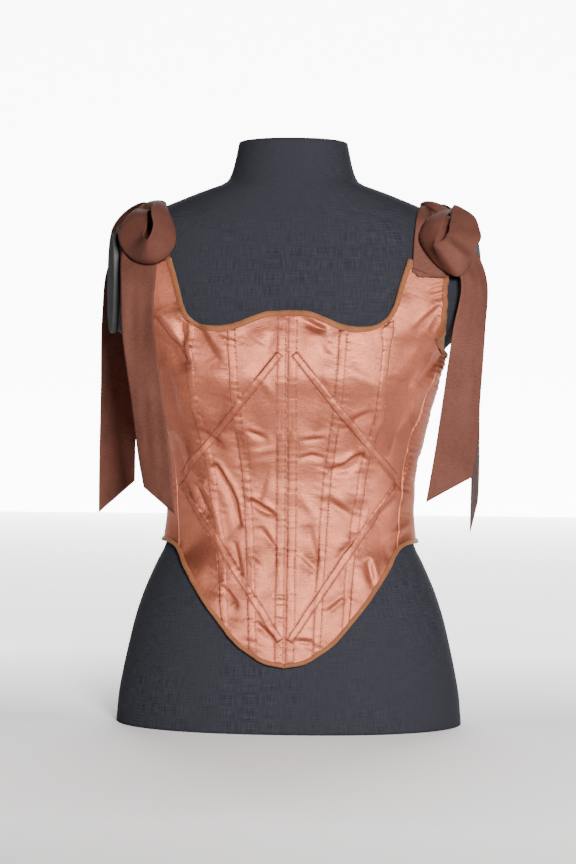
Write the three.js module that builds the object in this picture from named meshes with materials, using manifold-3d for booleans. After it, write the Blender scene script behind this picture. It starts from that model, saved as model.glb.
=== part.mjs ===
// A boned satin corset top with ribbon bows at the shoulders, on the limbless dress form that carries it.
// Millimetres, +Z up. The front faces -Y and +X is the viewer's right.
// The origin is the centre of the flat base.
import * as THREE from "three";
import { mergeVertices } from "three/addons/utils/BufferGeometryUtils.js";
import Module from "manifold-3d";

const DEGREE = Math.PI / 180;

// Heights above the form at which the layers of cloth lie.
const PANEL_INSIDE = 1.3;
const PANEL_OUTSIDE = 2.8;
const CASING_INSIDE = 3.5;
const CASING_EDGE = 4.1;
const CASING_CROWN = 5;
const BINDING_INSIDE = 1;
const BINDING_OVER_CLOTH = 3.8;
const BINDING_OUTSIDE = 4.9;
const RIBBON_WALL = 1;
const STRAP_RIBBON_HEIGHT = 1.4;
const TAIL_HEIGHT = 5;

// Widths of the trim, and the gap between two sewn pieces.
const SEAM_GAP = 0.3;
const CASING_WIDTH = 8;
const DIAMOND_WIDTH = 7;
const BINDING_WIDTH = 5.5;
const BINDING_FOLD = 1.3;
const CLOTH_INSET = 2.5;

// Level sections of the dress form: half its width, and how far it reaches to the front and to the back.
const SECTION_POWER = 2.3;
const SECTIONS = [
  { z: 0, side: 177, front: 112, back: 120 },
  { z: 25, side: 175, front: 112, back: 123 },
  { z: 52, side: 170.5, front: 111, back: 124 },
  { z: 78, side: 165, front: 108, back: 121 },
  { z: 107, side: 158, front: 105, back: 116 },
  { z: 133, side: 149.5, front: 100, back: 109 },
  { z: 161, side: 137.5, front: 95, back: 99 },
  { z: 184, side: 127, front: 89, back: 91 },
  { z: 211, side: 123.5, front: 86, back: 86 },
  { z: 240, side: 124.5, front: 87, back: 87 },
  { z: 274, side: 129, front: 91, back: 91 },
  { z: 306, side: 136, front: 99, back: 96 },
  { z: 329, side: 143.5, front: 104, back: 100 },
  { z: 355, side: 150, front: 108, back: 105 },
  { z: 378, side: 155, front: 107, back: 109 },
  { z: 386, side: 160, front: 106, back: 110 },
  { z: 392, side: 168, front: 105, back: 111 },
  { z: 400, side: 182, front: 103, back: 112 },
  { z: 412, side: 196, front: 100, back: 112 },
  { z: 430, side: 203, front: 95, back: 112 },
  { z: 450, side: 205, front: 89, back: 110 },
  { z: 480, side: 201, front: 79, back: 103 },
  { z: 503, side: 186, front: 72, back: 93 },
  { z: 528, side: 130, front: 64, back: 76 },
  { z: 541, side: 98, front: 60, back: 68 },
  { z: 553, side: 68, front: 57, back: 61 },
  { z: 566, side: 62, front: 55, back: 57 },
  { z: 593, side: 56, front: 52, back: 54 },
];
const NECK_TOP = 593;
const WIDEST_SHOULDER = 450;
const NECK_FOOT = 553;
const BUST = { rise: 8, x: 82, z: 350, spreadX: 46, spreadZ: 46 };
const FORM_COLUMNS = 44;
const FORM_ROWS = [
  0, 24, 50, 78, 106, 133, 158, 182, 206, 230, 256, 282, 308, 332, 354, 372, 379, 386, 393, 401, 413, 430,
  450, 472, 492, 506, 517, 528, 538, 547, NECK_FOOT, 566, NECK_TOP,
];
const ARM_PLATE = {
  x: 182, z: 449, turn: 12, halfHeight: 52, halfDepth: 42, wall: 6, bevel: 1.5, columns: 18,
};
const ARM_CUT = { depth: 300, height: 150, length: 100, z: 457 };

// Seams of one half of the corset, from the centre front to the centre back: half the width at each height.
const SEAMS = {
  inner: [
    { z: 80, x: 31 }, { z: 121, x: 32.5 }, { z: 179, x: 35 }, { z: 240, x: 38.5 },
    { z: 305, x: 47 }, { z: 334, x: 51 }, { z: 400, x: 55 },
  ],
  outer: [
    { z: 100, x: 58.5 }, { z: 174, x: 63 }, { z: 235, x: 71 }, { z: 274, x: 77 },
    { z: 290, x: 82 }, { z: 321, x: 88.5 }, { z: 412, x: 99 },
  ],
  sideFront: [
    { z: 170, x: 106 }, { z: 210, x: 108 }, { z: 250, x: 112 }, { z: 292, x: 120 },
    { z: 327, x: 132 }, { z: 380, x: 152 }, { z: 400, x: 173 },
  ],
  sideBack: [
    { z: 170, x: 112 }, { z: 210, x: 110 }, { z: 250, x: 112 }, { z: 292, x: 119 },
    { z: 327, x: 129 }, { z: 380, x: 149 }, { z: 400, x: 173 },
  ],
  back: [{ z: 170, x: 50 }, { z: 220, x: 44 }, { z: 300, x: 52 }, { z: 420, x: 66 }],
};

// Finished edges of one half of the corset.
// A neckline starts at the centre and ends at the strap's inner corner.
const FRONT_NECKLINE = [
  { x: 0, z: 415 }, { x: 22, z: 413 }, { x: 39, z: 407 }, { x: 55, z: 401 }, { x: 70, z: 399 },
  { x: 84, z: 401 }, { x: 95, z: 408 }, { x: 102, z: 419 }, { x: 107, z: 435 }, { x: 112, z: 452 },
  { x: 117, z: 468 },
];
const BACK_NECKLINE = [
  { x: 0, z: 404 }, { x: 40, z: 404 }, { x: 78, z: 407 }, { x: 96, z: 415 }, { x: 107, z: 430 },
  { x: 113, z: 448 },
];
const ARMHOLE = [
  { turn: 47.5, z: 455 }, { turn: 47, z: 438 }, { turn: 48.6, z: 415 }, { turn: 53, z: 402 },
  { turn: 60, z: 394 }, { turn: 68, z: 387 }, { turn: 78, z: 382 }, { turn: 90, z: 380 },
  { turn: 102, z: 382 }, { turn: 112, z: 387 }, { turn: 120, z: 394 }, { turn: 127, z: 402 },
  { turn: 131, z: 420 }, { turn: 133, z: 438 },
];
const FRONT_HEM = [
  { x: 0, z: 65 }, { x: 20, z: 69 }, { x: 32, z: 76 }, { x: 47, z: 87 }, { x: 62, z: 104 },
  { x: 76, z: 121 }, { x: 89, z: 140 }, { x: 99, z: 157 }, { x: 107, z: 174 }, { x: 115, z: 182 },
];
const BACK_HEM = [
  { turn: 90, z: 183 }, { turn: 115, z: 182 }, { turn: 145, z: 178 }, { turn: 180, z: 176 },
];

// The diamond of raised channels on the front: its top, side and bottom corners.
const DIAMOND = { topX: 12, topZ: 374, sideX: 107, sideZ: 248, sideGap: 4, bottomX: 13, bottomZ: 94 };
const CROSSING_GAP = 17;
const CASING_END_GAP = 10;
const NECK_END_GAP = 5;
const CASING_STEP = 15;

// The shoulder ribbons: where they leave the straps, and how they narrow to the knot on the shoulder.
const KNOT = { x: 147, halfX: 19, halfY: 24, halfZ: 12, height: 13, tilt: 24 };
const FRONT_STRAP_RIBBON = {
  inner: 118, innerZ: 468.5, outer: 158, outerZ: 455.5, endTurn: 86, endHalf: 15,
};
const BACK_STRAP_RIBBON = {
  inner: 114, innerZ: 450, outer: 152, outerZ: 440, endTurn: 94, endHalf: 15,
};

// The bow loops, as the viewer sees them: a flared ring from a narrow slit to a wide outline.
const LOOP_POWER = 1.5;
const LOOP_CLEARANCE = { front: 9, back: 15 };
const LOOP_LIFT = 8;
const LOOPS = {
  bow_loop_front_l: {
    x: -143, z: 498.5, half: 30, halfHeight: 34.5,
    slitX: -140, slitZ: 505, slitLength: 18, slitTilt: -15,
  },
  bow_loop_front_r: {
    x: 157, z: 490, half: 31, halfHeight: 38,
    slitX: 153, slitZ: 503, slitLength: 21, slitTilt: 25,
  },
  bow_loop_back_l: {
    x: -156, z: 503, half: 38, halfHeight: 32,
    slitX: -158, slitZ: 506, slitLength: 18, slitTilt: 10,
  },
  bow_loop_back_r: {
    x: 154, z: 502, half: 32, halfHeight: 32,
    slitX: 158, slitZ: 504, slitLength: 18, slitTilt: -10,
  },
};
const SLIT_HALF = 5;
const LOOP_DEPTH = 27;
const LOOP_ROOT = { depth: 17.5, slope: 0.8 };
const LOOP_ROWS = 16;
const LOOP_COLUMNS = 4;

// The ribbon tails, by their two long edges from the knot down.
// Where no depth is given the ribbon lies on the form.
const TAILS = {
  tail_front_l: {
    back: false,
    outer: [
      { x: -157, z: 507 }, { x: -163, z: 492 }, { x: -168, z: 475 }, { x: -168, z: 440, y: -73 },
      { x: -167, z: 395, y: -69 }, { x: -158, z: 328, y: -66 },
      { x: -150, z: 267, y: -64 }, { x: -145, z: 240, y: -63 },
    ],
    inner: [
      { x: -128, z: 512 }, { x: -127, z: 496 }, { x: -130, z: 470 }, { x: -134, z: 428, y: -84 },
      { x: -133, z: 397, y: -85 }, { x: -125, z: 336, y: -85 },
      { x: -117, z: 272, y: -84 }, { x: -112, z: 214, y: -83 },
    ],
  },
  tail_front_r: {
    back: false,
    outer: [
      { x: 154, z: 519 }, { x: 161, z: 508 }, { x: 172, z: 490 },
      { x: 186, z: 474 }, { x: 198, z: 448, y: -51 },
      { x: 196, z: 398, y: -55 }, { x: 191, z: 325, y: -64 },
      { x: 189, z: 290, y: -70 }, { x: 183, z: 253, y: -72 },
    ],
    inner: [
      { x: 144, z: 522 }, { x: 139, z: 511 }, { x: 143, z: 494 },
      { x: 155, z: 476 }, { x: 171, z: 448, y: -76 },
      { x: 163, z: 398, y: -82 }, { x: 153, z: 325, y: -82 },
      { x: 147, z: 283, y: -77 }, { x: 138, z: 228, y: -74 },
    ],
  },
  tail_back_l: {
    back: true,
    outer: [
      { x: -160, z: 507 }, { x: -178, z: 492 }, { x: -200, z: 470, y: 66 }, { x: -206, z: 420, y: 70 },
      { x: -207, z: 340, y: 72 }, { x: -208, z: 270, y: 72 }, { x: -208, z: 209, y: 71 },
    ],
    inner: [
      { x: -134, z: 514 }, { x: -146, z: 497 }, { x: -163, z: 468, y: 79 }, { x: -168, z: 420, y: 84 },
      { x: -169, z: 345, y: 84 }, { x: -170, z: 275, y: 82 }, { x: -170, z: 243, y: 80 },
    ],
  },
  tail_back_r: {
    back: true,
    outer: [
      { x: 160, z: 507 }, { x: 178, z: 492 }, { x: 197, z: 465, y: 54 }, { x: 197, z: 400, y: 50 },
      { x: 196, z: 320, y: 50 }, { x: 196, z: 250, y: 50 }, { x: 195, z: 226, y: 50 },
    ],
    inner: [
      { x: 134, z: 514 }, { x: 146, z: 497 }, { x: 172, z: 464, y: 82 }, { x: 189, z: 400, y: 90 },
      { x: 191, z: 320, y: 90 }, { x: 190, z: 250, y: 90 }, { x: 189, z: 192, y: 90 },
    ],
  },
};
const TAIL_ROWS = 18;
const TAIL_COLUMNS = 3;

// Smooth value of a column at a place in a table that is sorted by its key.
function smoothValue(rows, key, column, at) {
  const last = rows.length - 1;
  const slope = (i) => (rows[i + 1][column] - rows[i][column]) / (rows[i + 1][key] - rows[i][key]);
  const tangent = (i) => {
    if (i === 0) return slope(0);
    if (i === last) return slope(last - 1);
    const before = slope(i - 1);
    const after = slope(i);
    return before * after <= 0 ? 0 : (2 * before * after) / (before + after);
  };
  let i = 0;
  while (i < last - 1 && at > rows[i + 1][key]) i += 1;
  const width = rows[i + 1][key] - rows[i][key];
  const t = THREE.MathUtils.clamp((at - rows[i][key]) / width, 0, 1);
  const rise = rows[i + 1][column] - rows[i][column];
  const start = tangent(i) * width;
  const end = tangent(i + 1) * width;
  const bend = 3 * rise - 2 * start - end;
  const twist = start + end - 2 * rise;
  return rows[i][column] + start * t + bend * t * t + twist * t ** 3;
}

const section = (z) => ({
  side: smoothValue(SECTIONS, "z", "side", z),
  front: smoothValue(SECTIONS, "z", "front", z),
  back: smoothValue(SECTIONS, "z", "back", z),
});

// How far a level section's rounded corners pull it in towards the axis, on a given turn.
function roundness(turn) {
  const across = Math.abs(Math.sin(turn)) ** SECTION_POWER;
  const ahead = Math.abs(Math.cos(turn)) ** SECTION_POWER;
  return (across + ahead) ** (1 / SECTION_POWER);
}

// A point of the form's skin. Turn is 0 at the centre front, 90 degrees at +X and 180 at the back.
function skin(turn, z) {
  const { side, front, back } = section(z);
  const x = (side * Math.sin(turn)) / roundness(turn);
  const ahead = Math.cos(turn) / roundness(turn);
  const fromPoint = ((Math.abs(x) - BUST.x) / BUST.spreadX) ** 2 + ((z - BUST.z) / BUST.spreadZ) ** 2;
  const bust = BUST.rise * Math.exp(-fromPoint) * THREE.MathUtils.clamp(2 * ahead, 0, 1);
  return new THREE.Vector3(x, -ahead * (ahead > 0 ? front : back) - bust, z);
}

const TURN_STEP = 0.5 * DEGREE;
const HEIGHT_STEP = 1;
const acrossSkin = (turn, z) => skin(turn + TURN_STEP, z).sub(skin(turn - TURN_STEP, z));
const upSkin = (turn, z) => skin(turn, z + HEIGHT_STEP).sub(skin(turn, z - HEIGHT_STEP));
const outward = (turn, z) => acrossSkin(turn, z).cross(upSkin(turn, z)).normalize();
const above = (turn, z, height) => skin(turn, z).addScaledVector(outward(turn, z), height);
const millimetresPerTurn = (turn, z) => acrossSkin(turn, z).length() / (2 * TURN_STEP);

// The turn at which the skin has a given half width.
function turnAt(x, z, back = false) {
  const ratio = Math.min(1, Math.abs(x) / section(z).side);
  const turn = Math.atan2(ratio, (1 - ratio ** SECTION_POWER) ** (1 / SECTION_POWER));
  return back ? Math.PI - turn : turn;
}

// A point over the shoulder, where the skin has a given half width on a given turn.
function overShoulder(x, turn, height) {
  const needed = (x * roundness(turn)) / Math.sin(turn);
  let low = WIDEST_SHOULDER;
  let high = NECK_FOOT;
  for (let step = 0; step < 30; step += 1) {
    const middle = (low + high) / 2;
    if (section(middle).side > needed) low = middle;
    else high = middle;
  }
  return above(turn, low, height);
}

// A closed solid of points and faces, turned so that its faces point out.
function solid(points, faces) {
  const volume = (a, b, c) => a.dot(new THREE.Vector3().crossVectors(b, c));
  let total = 0;
  for (let i = 0; i < faces.length; i += 3) {
    total += volume(points[faces[i]], points[faces[i + 1]], points[faces[i + 2]]);
  }
  if (total < 0) {
    for (let i = 0; i < faces.length; i += 3) [faces[i], faces[i + 1]] = [faces[i + 1], faces[i]];
  }
  const geometry = new THREE.BufferGeometry().setFromPoints(points);
  geometry.setIndex(faces);
  return geometry;
}

// Closed solid between two grids of points. A ring's last row joins its first.
function slab(inside, outside, ring = false) {
  const rows = inside.length;
  const end = inside[0].length - 1;
  const index = (layer, i, j) => (layer * rows + (i % rows)) * (end + 1) + j;
  const faces = [];
  const quad = (a, b, c, d) => faces.push(a, b, c, a, c, d);
  const spans = ring ? rows : rows - 1;
  for (let i = 0; i < spans; i += 1) {
    for (let j = 0; j < end; j += 1) {
      quad(index(1, i, j), index(1, i, j + 1), index(1, i + 1, j + 1), index(1, i + 1, j));
      quad(index(0, i, j), index(0, i + 1, j), index(0, i + 1, j + 1), index(0, i, j + 1));
    }
    quad(index(0, i, 0), index(1, i, 0), index(1, i + 1, 0), index(0, i + 1, 0));
    quad(index(0, i, end), index(0, i + 1, end), index(1, i + 1, end), index(1, i, end));
  }
  for (let j = 0; j < end && !ring; j += 1) {
    quad(index(0, 0, j), index(0, 0, j + 1), index(1, 0, j + 1), index(1, 0, j));
    quad(index(0, spans, j), index(1, spans, j), index(1, spans, j + 1), index(0, spans, j + 1));
  }
  return solid([...inside.flat(), ...outside.flat()], faces);
}

// Closed solid through rows of section corners. A ring's last row joins its first.
function tube(rows, ring = false) {
  const corners = rows[0].length;
  const faces = [];
  const spans = ring ? rows.length : rows.length - 1;
  for (let i = 0; i < spans; i += 1) {
    const next = (i + 1) % rows.length;
    for (let j = 0; j < corners; j += 1) {
      const k = (j + 1) % corners;
      faces.push(i * corners + j, i * corners + k, next * corners + k);
      faces.push(i * corners + j, next * corners + k, next * corners + j);
    }
  }
  for (let j = 1; j < corners - 1 && !ring; j += 1) {
    faces.push(0, j + 1, j);
    faces.push(spans * corners, spans * corners + j, spans * corners + j + 1);
  }
  return solid(rows.flat(), faces);
}

// The same shape on the other side of the body.
function mirrored(geometry) {
  const places = geometry.getAttribute("position");
  const points = Array.from({ length: places.count }, (_, i) =>
    new THREE.Vector3().fromBufferAttribute(places, i).multiply(new THREE.Vector3(-1, 1, 1)),
  );
  return solid(points, Array.from(geometry.index.array));
}

const MATERIALS = {
  satin: new THREE.MeshStandardMaterial({ color: 0xc98d78, roughness: 0.35, metalness: 0 }),
  binding: new THREE.MeshStandardMaterial({ color: 0xb0703f, roughness: 0.7, metalness: 0 }),
  ribbon: new THREE.MeshStandardMaterial({ color: 0x7a4f44, roughness: 0.65, metalness: 0 }),
  linen: new THREE.MeshStandardMaterial({ color: 0x34353b, roughness: 0.95, metalness: 0 }),
  plate: new THREE.MeshStandardMaterial({ color: 0x3c3f41, roughness: 0.45, metalness: 0 }),
};
const root = new THREE.Group();
function addPiece(name, geometry, material) {
  const mesh = new THREE.Mesh(geometry, MATERIALS[material]);
  mesh.name = name;
  root.add(mesh);
}
function addPair(name, geometry, material) {
  addPiece(`${name}_r`, geometry, material);
  addPiece(`${name}_l`, mirrored(geometry), material);
}

// Places on the skin are pairs of turn and z. A path is a smooth line through such places, from 0 to 1.
const mixed = (a, b, t) => ({ turn: a.turn + (b.turn - a.turn) * t, z: a.z + (b.z - a.z) * t });
const placeOf = (row, back) => {
  const turn = "turn" in row ? row.turn * DEGREE : turnAt(row.x, row.z, back);
  return { turn, z: row.z };
};
function smoothPath(places) {
  const scale = 100;
  const points = places.map((p) => new THREE.Vector3(p.turn * scale, 0, p.z));
  const curve = new THREE.CatmullRomCurve3(points, false, "centripetal");
  return (t) => {
    const p = curve.getPointAt(t);
    return { turn: p.x / scale, z: p.z };
  };
}

// The path moved sideways over the skin, to the left of its direction for a positive distance.
function movedAside(path, distance) {
  return (t) => {
    const place = path(t);
    const before = path(Math.max(0, t - 0.01));
    const after = path(Math.min(1, t + 0.01));
    const scale = millimetresPerTurn(place.turn, place.z);
    const along = (after.turn - before.turn) * scale;
    const rise = after.z - before.z;
    const length = Math.hypot(along, rise);
    const turn = place.turn - ((rise / length) * distance) / scale;
    return { turn, z: place.z + (along / length) * distance };
  };
}
const stretchOf = (path, from, to) => (t) => path(from + (to - from) * t);

// How far along a path its turn passes a seam's.
function whereItMeets(path, seamTurn) {
  let low = 0;
  let high = 1;
  const side = Math.sign(path(0).turn - seamTurn(path(0).z)) || -1;
  for (let step = 0; step < 40; step += 1) {
    const middle = (low + high) / 2;
    const place = path(middle);
    if (Math.sign(place.turn - seamTurn(place.z)) === side) low = middle;
    else high = middle;
  }
  return (low + high) / 2;
}

const seamTurn = {
  centreFront: () => 0,
  inner: (z) => turnAt(smoothValue(SEAMS.inner, "z", "x", z), z),
  outer: (z) => turnAt(smoothValue(SEAMS.outer, "z", "x", z), z),
  sideFront: (z) => turnAt(smoothValue(SEAMS.sideFront, "z", "x", z), z),
  sideBack: (z) => turnAt(smoothValue(SEAMS.sideBack, "z", "x", z), z, true),
  back: (z) => turnAt(smoothValue(SEAMS.back, "z", "x", z), z, true),
  centreBack: () => Math.PI,
};

const neckFront = smoothPath(FRONT_NECKLINE.map((row) => placeOf(row)));
const neckBack = smoothPath(BACK_NECKLINE.map((row) => placeOf(row, true)));
const armhole = smoothPath(ARMHOLE.map((row) => placeOf(row)));
const hem = smoothPath([...FRONT_HEM, ...BACK_HEM].map((row) => placeOf(row)));

// The cloth's raw edge stops just inside the fold of its binding.
const neckFrontCloth = movedAside(neckFront, -CLOTH_INSET);
const neckBackCloth = movedAside(neckBack, CLOTH_INSET);
const armholeCloth = movedAside(armhole, -CLOTH_INSET);
const hemCloth = movedAside(hem, CLOTH_INSET);

const seamStretch = (seam, from, to) => (t) => {
  const z = from + (to - from) * t;
  return { turn: seam(z), z };
};
const joined = (first, second, knee) => (t) =>
  t < knee ? first(t / knee) : second((t - knee) / (1 - knee));

// Cloth between four edges that share their corners, as a wall on the form.
function panel(left, right, bottom, top, columns, rows) {
  const corners = [bottom(0), bottom(1), top(0), top(1)];
  const place = (u, v) => {
    const sides = mixed(left(v), right(v), u);
    const ends = mixed(bottom(u), top(u), v);
    const straight = mixed(mixed(corners[0], corners[1], u), mixed(corners[2], corners[3], u), v);
    return { turn: sides.turn + ends.turn - straight.turn, z: sides.z + ends.z - straight.z };
  };
  const grid = (height) =>
    Array.from({ length: rows + 1 }, (_, i) =>
      Array.from({ length: columns + 1 }, (_, j) => {
        const { turn, z } = place(j / columns, i / rows);
        const gap = SEAM_GAP / 2 / millimetresPerTurn(turn, z);
        return above(turn + gap * (1 - (2 * j) / columns), z, height);
      }),
    );
  return slab(grid(PANEL_INSIDE), grid(PANEL_OUTSIDE));
}

// A panel whose two long edges are seams, from the hem to a neckline or an armhole.
const SEAM_ROWS = 16;
function panelBetween(leftSeam, rightSeam, topEdge, columns) {
  const bottom = stretchOf(hemCloth, whereItMeets(hemCloth, leftSeam), whereItMeets(hemCloth, rightSeam));
  const top = stretchOf(topEdge, whereItMeets(topEdge, leftSeam), whereItMeets(topEdge, rightSeam));
  const left = seamStretch(leftSeam, bottom(0).z, top(0).z);
  const right = seamStretch(rightSeam, bottom(1).z, top(1).z);
  return panel(left, right, bottom, top, columns, SEAM_ROWS);
}

// A side panel that runs up into a shoulder strap, between a neckline and the armhole.
const STRAP_ROWS = 5;
const STRAP_KNEE = SEAM_ROWS / (SEAM_ROWS + STRAP_ROWS);
function strapPanel(neckSeam, armSeam, neckEdge, armEdge, armFirst, columns) {
  const bottomNeck = whereItMeets(hemCloth, neckSeam);
  const bottomArm = whereItMeets(hemCloth, armSeam);
  const neckStart = whereItMeets(neckEdge, neckSeam);
  const armStart = whereItMeets(armEdge, armSeam);
  const neckSide = joined(
    seamStretch(neckSeam, hemCloth(bottomNeck).z, neckEdge(neckStart).z),
    stretchOf(neckEdge, neckStart, 1),
    STRAP_KNEE,
  );
  const armSide = joined(
    seamStretch(armSeam, hemCloth(bottomArm).z, armEdge(armStart).z),
    stretchOf(armEdge, armStart, 1),
    STRAP_KNEE,
  );
  const [left, right] = armFirst ? [armSide, neckSide] : [neckSide, armSide];
  const [from, to] = armFirst ? [bottomArm, bottomNeck] : [bottomNeck, bottomArm];
  const top = (t) => mixed(left(1), right(1), t);
  return panel(left, right, stretchOf(hemCloth, from, to), top, columns, SEAM_ROWS + STRAP_ROWS);
}

const { centreFront, inner, outer, sideFront, sideBack, back, centreBack } = seamTurn;
const armholeForward = (t) => armholeCloth(1 - t);
const neckBackInward = (t) => neckBackCloth(1 - t);
addPair("panel_front_centre", panelBetween(centreFront, inner, neckFrontCloth, 4), "satin");
addPair("panel_front_mid", panelBetween(inner, outer, neckFrontCloth, 4), "satin");
const frontSide = strapPanel(outer, sideFront, neckFrontCloth, armholeForward, false, 5);
addPair("panel_front_side", frontSide, "satin");
addPair("panel_side", panelBetween(sideFront, sideBack, armholeCloth, 8), "satin");
addPair("panel_back_side", strapPanel(back, sideBack, neckBackCloth, armholeCloth, true, 6), "satin");
addPair("panel_back_centre", panelBetween(back, centreBack, neckBackInward, 5), "satin");

// A strip that follows a path on the skin. Its section lists how far aside and how high each corner lies.
function strip(path, corners, steps, ring = false) {
  const rows = Array.from({ length: ring ? steps : steps + 1 }, (_, i) =>
    corners.map(({ aside, height }) => {
      const place = movedAside(path, aside)(i / steps);
      return above(place.turn, place.z, height);
    }),
  );
  return tube(rows, ring);
}
const casingSection = (width) => [
  { aside: -width / 2, height: CASING_INSIDE },
  { aside: width / 2, height: CASING_INSIDE },
  { aside: width / 2, height: CASING_EDGE },
  { aside: 0, height: CASING_CROWN },
  { aside: -width / 2, height: CASING_EDGE },
];
// A binding folds round the raw edge and lies over the outside of the cloth.
const bindingSection = (toCloth) => [
  { aside: toCloth * BINDING_FOLD, height: BINDING_OVER_CLOTH },
  { aside: toCloth * BINDING_FOLD, height: BINDING_INSIDE },
  { aside: 0, height: BINDING_INSIDE },
  { aside: 0, height: BINDING_OUTSIDE },
  { aside: toCloth * BINDING_WIDTH, height: BINDING_OUTSIDE },
  { aside: toCloth * BINDING_WIDTH, height: BINDING_OVER_CLOTH },
];
const casingSteps = (length) => Math.max(3, Math.round(length / CASING_STEP));

// Upright boning channels, from the hem to the neckline.
function casing(seam, from, to) {
  return strip(seamStretch(seam, from, to), casingSection(CASING_WIDTH), casingSteps(to - from));
}
const besideCentre = (z) => turnAt((CASING_WIDTH + SEAM_GAP) / 2, z);
const hemAt = (seam) => hem(whereItMeets(hem, seam)).z + BINDING_WIDTH;
const neckAt = (seam) => neckFront(whereItMeets(neckFront, seam)).z - BINDING_WIDTH;
addPair("casing_centre", casing(besideCentre, hemAt(besideCentre) + 3, neckAt(besideCentre) - 2), "satin");

// The diamond's sides run straight as the viewer sees them.
const { topX, topZ, sideX, sideZ, sideGap, bottomX, bottomZ } = DIAMOND;
const upperSide = { fromX: topX, fromZ: topZ, toX: sideX, toZ: sideZ + sideGap };
const lowerSide = { fromX: sideX, fromZ: sideZ - sideGap, toX: bottomX, toZ: bottomZ };
const diamondPath = ({ fromX, fromZ, toX, toZ }) => (t) => {
  const z = fromZ + (toZ - fromZ) * t;
  return { turn: turnAt(fromX + (toX - fromX) * t, z), z };
};
for (const [name, side] of [["upper", upperSide], ["lower", lowerSide]]) {
  const steps = casingSteps(Math.hypot(side.toX - side.fromX, side.toZ - side.fromZ));
  addPair(`casing_diamond_${name}`, strip(diamondPath(side), casingSection(DIAMOND_WIDTH), steps), "satin");
}
const crossingOf = (side, seam) => diamondPath(side)(whereItMeets(diamondPath(side), seam)).z;
for (const [name, seam] of [["inner", inner], ["outer", outer]]) {
  const low = crossingOf(lowerSide, seam);
  const high = crossingOf(upperSide, seam);
  addPair(`casing_${name}_low`, casing(seam, hemAt(seam) + CASING_END_GAP, low - CROSSING_GAP), "satin");
  addPair(`casing_${name}_middle`, casing(seam, low + CROSSING_GAP, high - CROSSING_GAP), "satin");
  addPair(`casing_${name}_top`, casing(seam, high + CROSSING_GAP, neckAt(seam) - NECK_END_GAP), "satin");
}

// Bindings close every raw edge. The neckline and the hem run on across the middle of the body.
const otherSide = (place) => ({ turn: -place.turn, z: place.z });
const acrossFront = (path) => (t) => (t < 0.5 ? otherSide(path(1 - 2 * t)) : path(2 * t - 1));
const backAgain = (place) => ({ turn: 2 * Math.PI - place.turn, z: place.z });
const acrossBack = (path) => (t) => (t < 0.5 ? path(1 - 2 * t) : backAgain(path(2 * t - 1)));
const allRound = (path) => (t) => (t < 0.5 ? path(2 * t) : backAgain(path(2 - 2 * t)));
addPiece("binding_neck_front", strip(acrossFront(neckFront), bindingSection(-1), 48), "binding");
addPiece("binding_neck_back", strip(acrossBack(neckBack), bindingSection(-1), 32), "binding");
addPiece("binding_hem", strip(allRound(hem), bindingSection(1), 64, true), "binding");
addPair("binding_armhole", strip(armhole, bindingSection(-1), 28), "binding");

// The dress form: a smooth torso with a flat base, a flat neck top and a flat cut for each arm plate.
function formBody() {
  const points = FORM_ROWS.flatMap((z) =>
    Array.from({ length: FORM_COLUMNS }, (_, i) => skin((2 * Math.PI * i) / FORM_COLUMNS, z)),
  );
  const top = (FORM_ROWS.length - 1) * FORM_COLUMNS;
  const faces = [];
  for (let row = 0; row < top; row += FORM_COLUMNS) {
    for (let i = 0; i < FORM_COLUMNS; i += 1) {
      const next = (i + 1) % FORM_COLUMNS;
      faces.push(row + i, row + next, row + FORM_COLUMNS + next);
      faces.push(row + i, row + FORM_COLUMNS + next, row + FORM_COLUMNS + i);
    }
  }
  for (let i = 1; i < FORM_COLUMNS - 1; i += 1) {
    faces.push(0, i + 1, i);
    faces.push(top, top + i, top + i + 1);
  }
  return solid(points, faces);
}

const MERGE_DISTANCE = 1e-4;
const wasm = await Module();
wasm.setup();
function toManifold(geometry) {
  const bare = new THREE.BufferGeometry();
  bare.setAttribute("position", geometry.getAttribute("position"));
  if (geometry.index) bare.setIndex(geometry.index);
  const merged = mergeVertices(bare, MERGE_DISTANCE);
  return new wasm.Manifold(
    new wasm.Mesh({
      numProp: 3,
      vertProperties: merged.getAttribute("position").array,
      triVerts: new Uint32Array(merged.index.array),
    }),
  );
}
function fromManifold(manifold) {
  const mesh = manifold.getMesh();
  const geometry = new THREE.BufferGeometry();
  geometry.setAttribute("position", new THREE.BufferAttribute(mesh.vertProperties, 3));
  geometry.setIndex(Array.from(mesh.triVerts));
  return geometry;
}

// Frame of an arm plate: its face looks outward and a little to the front.
function plateFrame(side, distance) {
  const turn = ARM_PLATE.turn * DEGREE;
  const face = new THREE.Vector3(side * Math.cos(turn), -Math.sin(turn), 0);
  const up = new THREE.Vector3(0, 0, 1);
  const along = new THREE.Vector3().crossVectors(up, face);
  const centre = new THREE.Vector3(side * ARM_PLATE.x, 0, ARM_PLATE.z).addScaledVector(face, distance);
  return new THREE.Matrix4().makeBasis(along, up, face).setPosition(centre);
}
function armCut(side) {
  const { depth, height, length } = ARM_CUT;
  const block = new THREE.BoxGeometry(depth, height, length);
  block.translate(0, ARM_CUT.z - ARM_PLATE.z, length / 2);
  return toManifold(block.applyMatrix4(plateFrame(side, 0)));
}
const cutForm = toManifold(formBody()).subtract(armCut(1)).subtract(armCut(-1));
addPiece("form_body", fromManifold(cutForm), "linen");
for (const [name, side] of [["arm_plate_r", 1], ["arm_plate_l", -1]]) {
  const { halfDepth, halfHeight, wall, bevel, columns } = ARM_PLATE;
  const oval = new THREE.Shape().absellipse(0, 0, halfDepth - bevel, halfHeight - bevel, 0, 2 * Math.PI);
  const options = { depth: wall - 2 * bevel, bevelSize: bevel, bevelThickness: bevel, bevelSegments: 1 };
  const plate = new THREE.ExtrudeGeometry(oval, { ...options, curveSegments: columns });
  addPiece(name, plate.applyMatrix4(plateFrame(side, bevel + SEAM_GAP)), "plate");
}

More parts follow.
